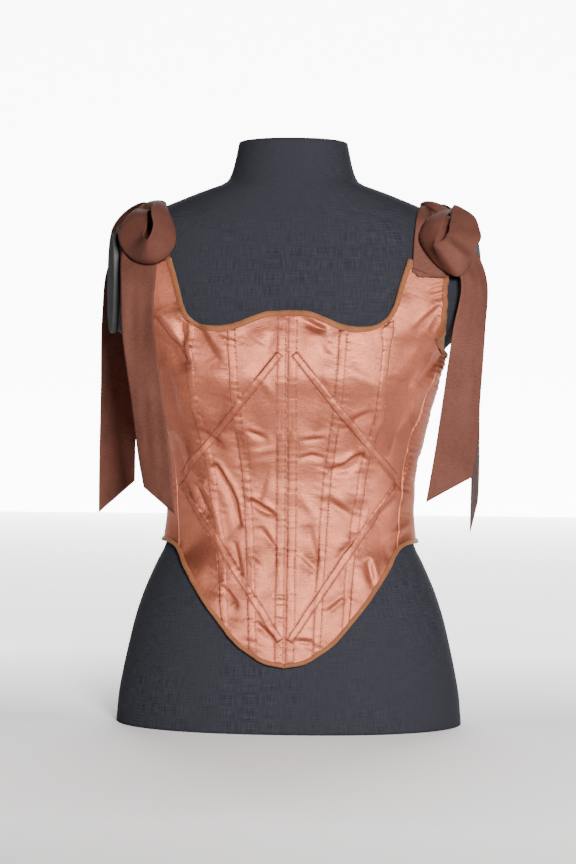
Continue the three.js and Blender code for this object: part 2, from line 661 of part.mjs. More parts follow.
// Ribbon cloth: a thin wall around a grid of points.
function ribbonWall({ grid, ring }, wall) {
  const rows = grid.length;
  const columns = grid[0].length;
  const normals = grid.map((row, i) =>
    row.map((_, j) => {
      const before = ring ? grid[(i + rows - 1) % rows] : grid[Math.max(0, i - 1)];
      const after = ring ? grid[(i + 1) % rows] : grid[Math.min(rows - 1, i + 1)];
      const along = after[j].clone().sub(before[j]);
      const across = row[Math.min(columns - 1, j + 1)].clone().sub(row[Math.max(0, j - 1)]);
      return across.cross(along).normalize();
    }),
  );
  const face = (height) =>
    grid.map((row, i) => row.map((p, j) => p.clone().addScaledVector(normals[i][j], height)));
  return slab(face(-wall / 2), face(wall / 2), ring);
}

// A ribbon from a strap's top to the knot, over the shoulder.
const STRAP_RIBBON_ROWS = 8;
const STRAP_RIBBON_COLUMNS = 4;
function strapRibbon(shape, isBack, side) {
  const grid = Array.from({ length: STRAP_RIBBON_ROWS + 1 }, (_, i) =>
    Array.from({ length: STRAP_RIBBON_COLUMNS + 1 }, (__, j) => {
      const u = j / STRAP_RIBBON_COLUMNS;
      const v = i / STRAP_RIBBON_ROWS;
      const start = shape.inner + (shape.outer - shape.inner) * u;
      const end = KNOT.x + shape.endHalf * (2 * u - 1);
      const startTurn = turnAt(start, shape.innerZ + (shape.outerZ - shape.innerZ) * u, isBack);
      const turn = startTurn + (shape.endTurn * DEGREE - startTurn) * v * v;
      const point = overShoulder(start + (end - start) * v, turn, STRAP_RIBBON_HEIGHT);
      return point.multiply(new THREE.Vector3(side, 1, 1));
    }),
  );
  return { grid, ring: false };
}

// How far the chest or the back reaches at a place that is seen from the front.
function reachAt(x, z, isBack) {
  return Math.abs(x) >= section(z).side ? 0 : Math.abs(skin(turnAt(x, z, isBack), z).y);
}

// A bow loop: the slit faces away from the body, and the wide outline lies over the shoulder.
const signedPower = (value, power) => Math.sign(value) * Math.abs(value) ** power;
function bowLoop(loop, isBack) {
  const tilt = loop.slitTilt * DEGREE;
  const clearance = isBack ? LOOP_CLEARANCE.back : LOOP_CLEARANCE.front;
  const grid = Array.from({ length: LOOP_ROWS }, (_, i) => {
    const round = (2 * Math.PI * i) / LOOP_ROWS;
    const wideX = loop.x + loop.half * signedPower(Math.cos(round), 2 / LOOP_POWER);
    const wideZ = loop.z + loop.halfHeight * signedPower(Math.sin(round), 2 / LOOP_POWER);
    const aside = SLIT_HALF * Math.cos(round);
    const rise = loop.slitLength * Math.sin(round);
    const slitX = loop.slitX + aside * Math.cos(tilt) + rise * Math.sin(tilt);
    const slitZ = loop.slitZ - aside * Math.sin(tilt) + rise * Math.cos(tilt);
    const root = LOOP_ROOT.depth + (loop.z + loop.halfHeight - wideZ) * LOOP_ROOT.slope;
    const far = Math.max(root, reachAt(wideX, wideZ - LOOP_LIFT, isBack) + clearance);
    return Array.from({ length: LOOP_COLUMNS + 1 }, (__, j) => {
      const angle = (j / LOOP_COLUMNS) * (Math.PI / 2);
      const spread = Math.sin(angle);
      const depth = far + LOOP_DEPTH * Math.cos(angle);
      const x = slitX + (wideX - slitX) * spread;
      return new THREE.Vector3(x, isBack ? depth : -depth, slitZ + (wideZ - slitZ) * spread);
    });
  });
  return { grid, ring: true };
}

// A tail hangs from the knot between its two long edges.
function tail({ back: isBack, outer: outerRows, inner: innerRows }) {
  const onForm = ({ x, z }) => above(Math.sign(x) * turnAt(x, z, isBack), z, TAIL_HEIGHT);
  const edge = (rows) =>
    new THREE.CatmullRomCurve3(
      rows.map((row) => ("y" in row ? new THREE.Vector3(row.x, row.y, row.z) : onForm(row))),
      false,
      "centripetal",
    );
  const [from, to] = [edge(outerRows), edge(innerRows)];
  const grid = Array.from({ length: TAIL_ROWS + 1 }, (_, i) => {
    const [a, b] = [from.getPoint(i / TAIL_ROWS), to.getPoint(i / TAIL_ROWS)];
    return Array.from({ length: TAIL_COLUMNS + 1 }, (__, j) => a.clone().lerp(b, j / TAIL_COLUMNS));
  });
  return { grid, ring: false };
}

// The same ribbon, larger by a seam's gap at its long edges and at its ends.
function widened({ grid, ring }) {
  const moved = (from, to) => to.clone().add(to.clone().sub(from).setLength(2 * SEAM_GAP));
  const wider = grid.map((row) => {
    const last = row.length - 1;
    return [moved(row[1], row[0]), ...row.slice(1, last), moved(row[last - 1], row[last])];
  });
  if (ring) return { grid: wider, ring };
  const last = wider.length - 1;
  const beyond = (from, to) => to.map((point, j) => moved(from[j], point));
  const ends = [beyond(wider[1], wider[0]), beyond(wider[last - 1], wider[last])];
  return { grid: [ends[0], ...wider.slice(1, last), ends[1]], ring };
}

// The knot sits on the shoulder's ridge and closes snugly round the ribbons that run into it.
function knotRound(side, ribbons) {
  const centre = overShoulder(KNOT.x, Math.PI / 2, KNOT.height);
  const ball = new THREE.SphereGeometry(1, 14, 10).scale(KNOT.halfX, KNOT.halfY, KNOT.halfZ);
  ball.rotateY(side * KNOT.tilt * DEGREE).translate(side * centre.x, centre.y, centre.z);
  const cut = ribbons.reduce(
    (rest, cloth) => rest.subtract(toManifold(ribbonWall(widened(cloth), RIBBON_WALL + 3 * SEAM_GAP))),
    toManifold(ball),
  );
  const [largest] = cut.decompose().sort((a, b) => b.volume() - a.volume());
  return fromManifold(largest);
}

for (const [letter, side] of [["r", 1], ["l", -1]]) {
  const ribbons = {
    [`ribbon_strap_front_${letter}`]: strapRibbon(FRONT_STRAP_RIBBON, false, side),
    [`ribbon_strap_back_${letter}`]: strapRibbon(BACK_STRAP_RIBBON, true, side),
    [`bow_loop_front_${letter}`]: bowLoop(LOOPS[`bow_loop_front_${letter}`], false),
    [`bow_loop_back_${letter}`]: bowLoop(LOOPS[`bow_loop_back_${letter}`], true),
    [`tail_front_${letter}`]: tail(TAILS[`tail_front_${letter}`]),
    [`tail_back_${letter}`]: tail(TAILS[`tail_back_${letter}`]),
  };
  for (const [name, cloth] of Object.entries(ribbons)) {
    addPiece(name, ribbonWall(cloth, RIBBON_WALL), "ribbon");
  }
  addPiece(`bow_knot_${letter}`, knotRound(side, Object.values(ribbons)), "ribbon");
}

export default root;
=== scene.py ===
import math
from contextlib import contextmanager

import bmesh
import bpy
import numpy as np
from mathutils import Matrix, Vector


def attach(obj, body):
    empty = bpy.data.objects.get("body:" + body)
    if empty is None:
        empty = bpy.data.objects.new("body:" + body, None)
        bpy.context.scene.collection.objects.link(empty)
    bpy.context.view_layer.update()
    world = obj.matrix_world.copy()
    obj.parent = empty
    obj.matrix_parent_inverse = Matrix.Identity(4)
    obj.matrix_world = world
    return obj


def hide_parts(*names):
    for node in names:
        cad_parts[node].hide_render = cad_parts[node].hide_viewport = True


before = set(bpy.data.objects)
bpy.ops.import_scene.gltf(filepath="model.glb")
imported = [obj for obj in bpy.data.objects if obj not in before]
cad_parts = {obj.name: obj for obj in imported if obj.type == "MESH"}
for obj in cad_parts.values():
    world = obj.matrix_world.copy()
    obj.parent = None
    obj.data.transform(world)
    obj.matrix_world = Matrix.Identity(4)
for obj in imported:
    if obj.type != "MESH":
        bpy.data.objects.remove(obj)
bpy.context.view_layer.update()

# The dress form: a padded, limbless torso under a tight charcoal linen cover, cut flat at the neck, at
# the hips and where each arm would start. Its level sections are rounded ovals, given here in
# millimetres: the height, half the width, and the reach to the front and to the back.
MM = 0.001
SECTION_POWER = 2.3
SECTIONS = np.array([
    (0, 177, 112, 120), (25, 175, 112, 123), (52, 170.5, 111, 124), (78, 165, 108, 121),
    (107, 158, 105, 116), (133, 149.5, 100, 109), (161, 137.5, 95, 99), (184, 127, 89, 91),
    (211, 123.5, 86, 86), (240, 124.5, 87, 87), (274, 129, 91, 91), (306, 136, 99, 96),
    (329, 143.5, 104, 100), (355, 150, 108, 105), (378, 155, 107, 109), (386, 160, 106, 110),
    (392, 168, 105, 111), (400, 182, 103, 112), (412, 196, 100, 112), (430, 203, 95, 112),
    (450, 205, 89, 110), (480, 201, 79, 103), (503, 186, 72, 93), (528, 130, 64, 76),
    (541, 98, 60, 68), (553, 68, 57, 61), (566, 62, 55, 57), (593, 56, 52, 54),
], float)
WIDEST_SHOULDER, NECK_FOOT, NECK_TOP = 450, 553, 593
BUST = {"rise": 8, "x": 82, "z": 350, "spread": 46}


def bent(begin, rise, start, end, t):
    """A cubic over a rise, with its slopes at the start and the end."""
    return begin + start * t + (3 * rise - 2 * start - end) * t**2 + (start + end - 2 * rise) * t**3


def smooth_value(keys, values, at):
    """A smooth line through a table that never swings past the table's own values."""
    step = np.diff(values) / np.diff(keys)
    product = step[:-1] * step[1:]
    total = np.where(product > 0, step[:-1] + step[1:], 1)
    tangent = np.concatenate([step[:1], np.where(product > 0, 2 * product / total, 0), step[-1:]])
    i = np.clip(np.searchsorted(keys, at, side="right") - 1, 0, len(keys) - 2)
    width = keys[i + 1] - keys[i]
    t = np.clip((at - keys[i]) / width, 0, 1)
    return bent(values[i], values[i + 1] - values[i], tangent[i] * width, tangent[i + 1] * width, t)


def section_side(z):
    return smooth_value(SECTIONS[:, 0], SECTIONS[:, 1], z)


def roundness(turn):
    across, ahead = np.abs(np.sin(turn)), np.abs(np.cos(turn))
    return (across**SECTION_POWER + ahead**SECTION_POWER) ** (1 / SECTION_POWER)


def skin(turn, z):
    """Points of the form's skin. Turn is 0 at the centre front and a quarter turn at the viewer's right."""
    turn, z = np.broadcast_arrays(np.asarray(turn, float), np.asarray(z, float))
    x = section_side(z) * np.sin(turn) / roundness(turn)
    ahead = np.cos(turn) / roundness(turn)
    reach = np.where(
        ahead > 0,
        smooth_value(SECTIONS[:, 0], SECTIONS[:, 2], z),
        smooth_value(SECTIONS[:, 0], SECTIONS[:, 3], z),
    )
    away = ((np.abs(x) - BUST["x"]) / BUST["spread"]) ** 2 + ((z - BUST["z"]) / BUST["spread"]) ** 2
    bust = BUST["rise"] * np.exp(-away) * np.clip(2 * ahead, 0, 1)
    return np.stack([x, -ahead * reach - bust, z], axis=-1)


TURN_STEP, HEIGHT_STEP = math.radians(0.5), 1.0


def short_step(turn, z):
    return skin(turn + TURN_STEP, z) - skin(turn - TURN_STEP, z)


def turn_length(turn, z):
    """Millimetres of skin to one radian of turn."""
    return np.linalg.norm(short_step(turn, z), axis=-1) / (2 * TURN_STEP)


def outward(turn, z):
    up = skin(turn, z + HEIGHT_STEP) - skin(turn, z - HEIGHT_STEP)
    normal = np.cross(short_step(turn, z), up)
    return normal / np.linalg.norm(normal, axis=-1, keepdims=True)


def above(turn, z, height):
    """Points at a height over the form's skin."""
    turn, z = np.broadcast_arrays(np.asarray(turn, float), np.asarray(z, float))
    return skin(turn, z) + outward(turn, z) * np.asarray(height, float)[..., None]


def turn_at(x, z, back=False):
    """The turn at which the skin has a given half width."""
    ratio = np.minimum(1, np.abs(x) / section_side(z))
    turn = np.arctan2(ratio, (1 - ratio**SECTION_POWER) ** (1 / SECTION_POWER))
    return np.pi - turn if back else turn


def made(name, bm, material=None):
    """A smooth-faced piece from a finished bmesh."""
    mesh = bpy.data.meshes.new(name)
    bm.to_mesh(mesh)
    bm.free()
    mesh.polygons.foreach_set("use_smooth", np.ones(len(mesh.polygons), bool))
    if material:
        mesh.materials.append(material)
    piece = bpy.data.objects.new(name, mesh)
    bpy.context.scene.collection.objects.link(piece)
    return piece


@contextmanager
def reworked(piece):
    """The bmesh of a piece, opened for a change and put back."""
    bm = bmesh.new()
    bm.from_mesh(piece.data)
    yield bm
    bm.to_mesh(piece.data)
    bm.free()


def mend_ring(piece, within=1e-6):
    """Joins the edges at which a piece meets itself."""
    with reworked(piece) as bm:
        bmesh.ops.remove_doubles(bm, verts=bm.verts, dist=within)


def face_out(piece, centre):
    """Turns a piece's faces away from a point inside it."""
    faces = piece.data.polygons
    total = sum((face.center - Vector(centre) * MM).dot(face.normal) * face.area for face in faces)
    if total < 0:
        piece.data.flip_normals()


UV_STEPS = 41


def cloth_mesh(name, columns, rows, place, wall=None):
    """A grid of cloth: place gives millimetre points for arrays of u and v, each from 0 to 1.
    Its UV map runs in metres along the cloth. A wall is the cloth's thickness in millimetres."""
    bm = bmesh.new()
    bmesh.ops.create_grid(bm, x_segments=columns, y_segments=rows, size=0.5)
    piece = made(name, bm)
    mesh = piece.data
    flat = np.empty(len(mesh.vertices) * 3)
    mesh.vertices.foreach_get("co", flat)
    uv = flat.reshape(-1, 3)[:, :2] + 0.5
    mesh.vertices.foreach_set("co", (place(uv[:, 0], uv[:, 1]) * MM).ravel())
    mesh.update()
    steps, middle = np.linspace(0, 1, UV_STEPS), np.full(UV_STEPS, 0.5)
    size = [
        np.linalg.norm(np.diff(place(*line), axis=0), axis=1).sum() * MM
        for line in ((steps, middle), (middle, steps))
    ]
    corners = np.empty(len(mesh.loops), int)
    mesh.loops.foreach_get("vertex_index", corners)
    mesh.uv_layers.new(name="cloth").data.foreach_set("uv", (uv[corners] * size).ravel())
    if wall:
        thick = piece.modifiers.new("wall", "SOLIDIFY")
        thick.thickness = wall * MM
        thick.offset = -1
    return piece


class Value:
    """One socket of a material's nodes, for sums written as plain expressions."""

    def __init__(self, finish, socket):
        self.finish, self.socket = finish, socket

    def math(self, operation, first, second):
        return self.finish.node("ShaderNodeMath", {"operation": operation}, {0: first, 1: second})

    def __add__(self, other):
        return self.math("ADD", self, other)

    def __sub__(self, other):
        return self.math("SUBTRACT", self, other)

    def __mul__(self, other):
        return self.math("MULTIPLY", self, other)

    def __rsub__(self, other):
        return self.math("SUBTRACT", other, self)

    def __abs__(self):
        return self.math("ABSOLUTE", self, 0.0)

    __radd__, __rmul__ = __add__, __mul__


class Finish:
    """A material that is being put together."""

    def __init__(self, name):
        self.material = bpy.data.materials.new(name)
        self.material.use_nodes = True
        self.tree = self.material.node_tree
        self.tree.nodes.clear()

    def node(self, kind, settings=None, inputs=None, output=0):
        new = self.tree.nodes.new(kind)
        for key, setting in (settings or {}).items():
            setattr(new, key, setting)
        for key, value in (inputs or {}).items():
            if isinstance(value, Value):
                self.tree.links.new(value.socket, new.inputs[key])
            else:
                new.inputs[key].default_value = value
        return Value(self, new.outputs[output]) if new.outputs else None

    def places(self, along_cloth=True):
        return self.node("ShaderNodeTexCoord", output="UV" if along_cloth else "Object")

    def noise(self, places, scale, detail=2.0, roughness=0.5):
        inputs = {"Vector": places, "Scale": scale, "Detail": detail, "Roughness": roughness}
        return self.node("ShaderNodeTexNoise", {}, inputs)

    def threads(self, cloth, across, along, detail=3.0):
        """Uneven threads: noise of so many to the metre across the cloth and along it."""
        drawn_out = self.node("ShaderNodeMapping", {}, {"Vector": cloth, "Scale": (across, along, 1)})
        return self.noise(drawn_out, 1.0, detail, 0.6)

    def waves(self, places, scale, direction):
        settings = {"wave_type": "BANDS", "bands_direction": direction, "wave_profile": "SIN"}
        inputs = {"Vector": places, "Scale": scale, "Detail": 1.0}
        return self.node("ShaderNodeTexWave", settings, inputs, output="Fac")

    def mixed(self, factor, first, second):
        """A colour between two others; a colour is given as three numbers."""
        colour = lambda c: c if isinstance(c, Value) else (*c, 1)
        inputs = {0: factor, 6: colour(first), 7: colour(second)}
        return self.node("ShaderNodeMix", {"data_type": "RGBA"}, inputs, output=2)

    def ranged(self, value, low, high, to_low=0.0, to_high=1.0):
        inputs = {0: value, 1: low, 2: high, 3: to_low, 4: to_high}
        return self.node("ShaderNodeMapRange", {"clamp": True}, inputs)

    def blend(self, value, low, high, first, second, most=1.0):
        """The first colour where a value is low, running into the second where it is high."""
        return self.mixed(self.ranged(value, low, high, 0.0, most), first, second)

    def bump(self, height, distance, strength=1.0):
        inputs = {"Height": height, "Distance": distance, "Strength": strength}
        return self.node("ShaderNodeBump", {}, inputs)

    def surface(self, **inputs):
        """The finished surface. Names are the shader's own, with an underscore for each space."""
        named = {key.replace("_", " "): value for key, value in inputs.items()}
        shader = self.node("ShaderNodeBsdfPrincipled", {}, named)
        self.node("ShaderNodeOutputMaterial", {}, {"Surface": shader})
        return self.material


def linen_finish():
    """Plain woven charcoal linen: crossing threads of uneven thickness, some darker, some lighter."""
    finish = Finish("charcoal linen")
    cloth = finish.places()
    threads = finish.threads(cloth, 1500, 70) * 0.5 + finish.threads(cloth, 70, 1500) * 0.5
    patches = finish.noise(finish.places(False), 9.0, 3.0, 0.6)
    colour = finish.blend(threads, 0.35, 0.65, (0.0080, 0.0085, 0.0115), (0.031, 0.032, 0.041))
    return finish.surface(
        Base_Color=finish.blend(patches, 0.35, 0.7, colour, (0.020, 0.0205, 0.026)),
        Roughness=0.9,
        Specular_IOR_Level=0.05,
        Sheen_Weight=0.02,
        Sheen_Roughness=0.5,
        Sheen_Tint=(0.5, 0.52, 0.6, 1),
        Normal=finish.bump(threads, 0.0006, 0.6),
    )


LINEN = linen_finish()
SIDES = (("r", 1), ("l", -1))
ARM_PLATE = {"x": 182, "z": 449, "turn": math.radians(12), "half_height": 52, "half_depth": 42, "wall": 6}


def plate_face(side):
    """The middle of the flat cut for an arm plate, and the way it faces: outward and a little forward."""
    way = Vector((side * math.cos(ARM_PLATE["turn"]), -math.sin(ARM_PLATE["turn"]), 0))
    return Vector((side * ARM_PLATE["x"], 0, ARM_PLATE["z"])) * MM, way


form = cloth_mesh("dress_form", 176, 148, lambda u, v: skin(2 * np.pi * u, NECK_TOP * v))
with reworked(form) as bm:
    bmesh.ops.remove_doubles(bm, verts=bm.verts, dist=1e-6)
    for letter, side in SIDES:
        middle, way = plate_face(side)
        parts = bm.verts[:] + bm.edges[:] + bm.faces[:]
        bmesh.ops.bisect_plane(bm, geom=parts, plane_co=middle, plane_no=way, clear_outer=True)
    bmesh.ops.edgeloop_fill(bm, edges=[edge for edge in bm.edges if edge.is_boundary])
form.data.materials.append(LINEN)
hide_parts("form_body")
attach(form, "root")

# The arm plates: two oval plates of smooth dark grey plastic with a rounded rim, which cover the flat cuts
# under the shoulders.
PLATE_RIM, PLATE_SEAT = 2.0, 0.3


def plate_finish():
    finish = Finish("smooth grey plastic")
    grain = finish.noise(finish.places(False), 60.0, 4.0, 0.6)
    return finish.surface(
        Base_Color=finish.blend(grain, 0.3, 0.7, (0.072, 0.074, 0.073), (0.098, 0.100, 0.098)),
        Specular_IOR_Level=0.0,
        Roughness=finish.ranged(grain, 0.3, 0.7, 0.6, 0.7),
        Normal=finish.bump(grain, 0.0001),
    )


PLASTIC = plate_finish()
for letter, side in SIDES:
    middle, way = plate_face(side)
    bm = bmesh.new()
    bmesh.ops.create_circle(bm, cap_ends=True, segments=96, radius=1)
    oval = Vector((ARM_PLATE["half_depth"], ARM_PLATE["half_height"], 1)) * MM
    bmesh.ops.scale(bm, vec=oval, verts=bm.verts)
    lifted = bmesh.ops.extrude_face_region(bm, geom=bm.faces[:])["geom"]
    risen = [part for part in lifted if isinstance(part, bmesh.types.BMVert)]
    bmesh.ops.translate(bm, vec=(0, 0, ARM_PLATE["wall"] * MM), verts=risen)
    bmesh.ops.recalc_face_normals(bm, faces=bm.faces)
    rims = [edge for edge in bm.edges if len(edge.link_faces) == 2 and edge.calc_face_angle(0) > 1]
    bmesh.ops.bevel(
        bm, geom=rims, offset=PLATE_RIM * MM, segments=4, profile=0.5, affect="EDGES", material=-1
    )
    up = Vector((0, 0, 1))
    turned = Matrix((up.cross(way), up, way)).transposed().to_4x4()
    seat = Matrix.Translation(middle + way * PLATE_SEAT * MM)
    bmesh.ops.transform(bm, matrix=seat @ turned, verts=bm.verts)
    plate = made(f"oval_plate_{letter}", bm, PLASTIC)
    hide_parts(f"arm_plate_{letter}")
    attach(plate, "root")

# The satin panels: six a side, cut from rose copper satin over a firm lining, joined with narrow seams and
# pulled tight by the bones, so drag lines, soft dents and small gathers run between the channels.
PANEL_HEIGHT, PANEL_WALL, SEAM_GAP, CLOTH_INSET = 2.8, 1.2, 0.3, 2.5
SEAMS = {
    "inner": [(80, 31), (121, 32.5), (179, 35), (240, 38.5), (305, 47), (334, 51), (400, 55)],
    "outer": [(100, 58.5), (174, 63), (235, 71), (274, 77), (290, 82), (321, 88.5), (412, 99)],
    "side_front": [(170, 106), (210, 108), (250, 112), (292, 120), (327, 132), (380, 152), (400, 173)],
    "side_back": [(170, 112), (210, 110), (250, 112), (292, 119), (327, 129), (380, 149), (400, 173)],
    "back": [(170, 50), (220, 44), (300, 52), (420, 66)],
}
SEAMS = {name: np.array(rows, float) for name, rows in SEAMS.items()}
FRONT_NECKLINE = [
    (0, 415), (22, 413), (39, 407), (55, 401), (70, 399), (84, 401), (95, 408), (102, 419), (107, 435),
    (112, 452), (117, 468),
]
BACK_NECKLINE = [(0, 404), (40, 404), (78, 407), (96, 415), (107, 430), (113, 448)]
ARMHOLE_DEGREES = [
    (47.5, 455), (47, 438), (48.6, 415), (53, 402), (60, 394), (68, 387), (78, 382), (90, 380), (102, 382),
    (112, 387), (120, 394), (127, 402), (131, 420), (133, 438),
]
FRONT_HEM = [
    (0, 65), (20, 69), (32, 76), (47, 87), (62, 104), (76, 121), (89, 140), (99, 157), (107, 174), (115, 182),
]
BACK_HEM_DEGREES = [(90, 183), (115, 182), (145, 178), (180, 176)]


def smooth_line(points, samples=24):
    """Many points on the smooth curve through a few, with no loops where they crowd."""
    points = np.array(points, float)
    points = np.vstack([2 * points[0] - points[1], points, 2 * points[-1] - points[-2]])
    spans = np.maximum(np.linalg.norm(np.diff(points, axis=0), axis=1) ** 0.5, 1e-6)
    line = []
    for i in range(1, len(points) - 2):
        a, b, c, d = points[i - 1 : i + 3]
        before, here, after = spans[i - 1 : i + 2]
        start = ((b - a) / before - (c - a) / (before + here) + (c - b) / here) * here
        end = ((c - b) / here - (d - b) / (here + after) + (d - c) / after) * here
        line.append(bent(b, c - b, start, end, np.linspace(0, 1, samples, endpoint=False)[:, None]))
    return np.vstack([*line, points[-2:-1]])


FORM_RADIUS = 100


def skin_path(places):
    """An even walk, from 0 to 1, along places on the skin that are pairs of turn and height."""
    line = smooth_line(np.array(places) * (FORM_RADIUS, 1))
    walked = np.concatenate([[0], np.cumsum(np.linalg.norm(np.diff(line, axis=0), axis=1))])
    walked /= walked[-1]

    def path(t):
        t = np.clip(t, 0, 1)
        return np.interp(t, walked, line[:, 0]) / FORM_RADIUS, np.interp(t, walked, line[:, 1])

    return path


def beside(path, t, distance, step=0.01, closed=False):
    """Places on the skin at a distance to the left of a path's direction."""
    turn, z = path(t)
    before, after = (t - step, t + step) if closed else (np.maximum(0, t - step), np.minimum(1, t + step))
    turns, heights = zip(path(before), path(after))
    scale = turn_length(turn, z)
    along, rise = (turns[1] - turns[0]) * scale, heights[1] - heights[0]
    length = np.hypot(along, rise)
    return turn - rise / length * distance / scale, z + along / length * distance


def moved_aside(path, distance):
    return lambda t: beside(path, np.asarray(t, float), distance)


def seam_x(name, z):
    """How far from the middle a seam lies, as the viewer sees it."""
    return smooth_value(*SEAMS[name].T, np.asarray(z, float))


def seam_turn(name):
    if name == "centre_front":
        return lambda z: np.zeros_like(np.asarray(z, float))
    if name == "centre_back":
        return lambda z: np.full_like(np.asarray(z, float), np.pi)
    return lambda z: turn_at(seam_x(name, z), z, name in ("side_back", "back"))


def meeting(path, seam):
    """How far along a path it passes a seam."""
    t = np.linspace(0, 1, 4001)
    turn, z = path(t)
    apart = turn - seam(z)
    crossings = np.nonzero(np.sign(apart[1:]) != np.sign(apart[:-1]))[0]
    return t[crossings[0] + 1] if len(crossings) else t[np.argmin(np.abs(apart))]


def corner_places(rows, behind=False):
    return [(float(turn_at(x, z, behind)), z) for x, z in rows]


def degree_places(rows):
    return [(math.radians(turn), z) for turn, z in rows]


neck_front = skin_path(corner_places(FRONT_NECKLINE))
neck_back = skin_path(corner_places(BACK_NECKLINE, True))
armhole = skin_path(degree_places(ARMHOLE_DEGREES))
hem = skin_path(corner_places(FRONT_HEM) + degree_places(BACK_HEM_DEGREES))
raw_neck_front = moved_aside(neck_front, -CLOTH_INSET)
raw_neck_back = moved_aside(neck_back, CLOTH_INSET)
raw_armhole = moved_aside(armhole, -CLOTH_INSET)
raw_hem = moved_aside(hem, CLOTH_INSET)

# Creases as the viewer sees them: points across and up, how wide, and how deep or proud.
CREASES = [
    (((-38, 299), (-21, 292)), 2.9, -0.8),
    (((-69, 263), (-56, 241), (-51, 229), (-46, 205)), 3.6, -2.0),
    (((-33, 228), (-14, 216)), 3.4, -1.8),
    (((-88, 242), (-76, 216)), 3.4, -1.0),
    (((16, 290), (36, 292)), 2.9, -0.5),
    (((14, 272), (24, 275), (34, 273)), 2.9, -0.5),
    (((46, 261), (58, 264), (72, 275)), 4.4, -1.9),
    (((84, 342), (91, 312), (97, 284)), 10.0, 1.2),
    (((114, 346), (116, 312), (119, 278)), 11.0, -1.3),
    (((-114, 290), (-105, 258), (-99, 228)), 13.0, -1.3),
    (((-118, 352), (-108, 312)), 12.0, -0.9),
    (((60, 300), (66, 262)), 10.0, -0.6),
    (((-62, 330), (-74, 290)), 9.0, -0.6),
    (((-48, 300), (-40, 262)), 7.0, -0.5),
    (((34, 345), (26, 310)), 8.0, -0.5),
    (((22, 200), (30, 160)), 7.0, -0.5),
    (((70, 225), (62, 190)), 8.0, -0.6),
    (((-20, 262), (-28, 226)), 6.0, -0.5),
    (((80, 167), (84, 148)), 3.9, -0.9),
    (((13, 92), (26, 91)), 2.9, -0.7),
    (((-26, 108), (-14, 96)), 3.9, -0.9),
    (((-10, 135), (1, 134)), 1.7, -0.4),
    (((-10, 124), (1, 125)), 1.7, -0.35),
    (((-10, 113), (1, 112)), 1.7, -0.4),
    (((-131, 407), (-98, 367)), 5.9, -1.3),
    (((-126, 413), (-95, 377)), 4.9, 1.2),
    (((-102, 405), (-101, 369)), 5.9, -0.9),
    (((155, 442), (141, 438)), 2.5, -0.8),
    (((155, 434), (143, 430)), 2.5, -0.7),
    (((148, 421), (127, 400)), 3.9, -1.1),
    (((147, 412), (141, 400)), 2.9, -0.9),
    (((153, 395), (141, 389)), 2.5, -0.7),
    (((151, 382), (129, 349)), 3.4, -1.3),
    (((158, 378), (135, 343)), 3.9, 1.3),
    (((16, 412), (27, 405), (39, 401)), 3.9, 1.1),
    (((19, 405), (35, 396)), 3.9, -0.9),
    (((-91, 403), (-69, 367)), 8.8, -1.1),
    (((-79, 401), (-61, 377)), 5.9, 1.0),
    (((-42, 391), (-30, 380), (-20, 378), (-15, 388)), 6.5, -0.4),
    (((30, 384), (38, 372), (46, 371), (52, 382)), 6.5, -0.4),
    (((-89, 324), (-71, 314), (-59, 318)), 6.9, 1.0),
    (((-85, 299), (-65, 285)), 5.9, -0.8),
    (((-109, 259), (-103, 210)), 6.9, 0.8),
    (((-24, 348), (-12, 332)), 4.9, 0.7),
    (((-30, 277), (-10, 282)), 3.9, 0.7),
    (((-79, 244), (-69, 218), (-63, 194)), 4.9, 0.9),
    (((-50, 185), (-43, 151)), 3.9, -0.7),
    (((17, 230), (31, 210)), 5.9, 0.7),
    (((41, 230), (58, 218)), 4.9, -0.8),
    (((52, 171), (64, 190)), 4.9, 0.8),
    (((13, 171), (27, 157)), 4.9, -0.6),
    (((86, 210), (104, 230)), 5.9, -0.9),
    (((96, 190), (115, 202)), 4.9, 0.9),
    (((64, 310), (80, 318)), 3.9, -0.7),
    (((62, 356), (84, 344)), 5.9, 0.7),
    (((115, 367), (131, 387)), 6.9, 0.9),
    (((110, 333), (121, 356)), 5.9, -0.7),
    (((115, 274), (110, 249)), 4.9, -0.9),
    (((-36, 171), (-24, 159)), 3.9, 0.7),
    (((-24, 200), (-12, 183)), 3.9, -0.6),
    (((-59, 141), (-48, 127)), 3.9, -0.8),
    (((43, 120), (56, 131)), 3.9, -0.7),
]
BACK_SHIFT = 14
rng = np.random.default_rng(7)
DRAG = [
    (rng.uniform(-0.13, 0.13), rng.uniform(0.05, 0.2), rng.uniform(0, 6.28), rng.uniform(0.15, 0.3))
    for _ in range(10)
]
RIPPLE = [(rng.uniform(0.55, 1.0), rng.uniform(0, 6.28), rng.uniform(0.5, 1)) for _ in range(4)]


def hump(distance, width, power=2):
    return np.exp(-((distance / width) ** power))


def near(x, z, points):
    """How far places lie from a line of points, how far along it, and how much they lie above it."""
    best, along, upper = np.full(np.shape(x), 1e9), np.zeros(np.shape(x)), np.zeros(np.shape(x))
    count = len(points) - 1
    for i in range(count):
        (x0, z0), (x1, z1) = points[i], points[i + 1]
        dx, dz = x1 - x0, z1 - z0
        t = np.clip(((x - x0) * dx + (z - z0) * dz) / (dx * dx + dz * dz), 0, 1)
        distance = np.hypot(x - x0 - t * dx, z - z0 - t * dz)
        along = np.where(distance < best, (i + t) / count, along)
        rather_up = 1 / (1 + np.exp(-(z - z0 - t * dz) / 1.5 - (x - x0 - t * dx) / 3.0))
        upper = np.where(distance < best, rather_up, upper)
        best = np.minimum(best, distance)
    return best, along, upper


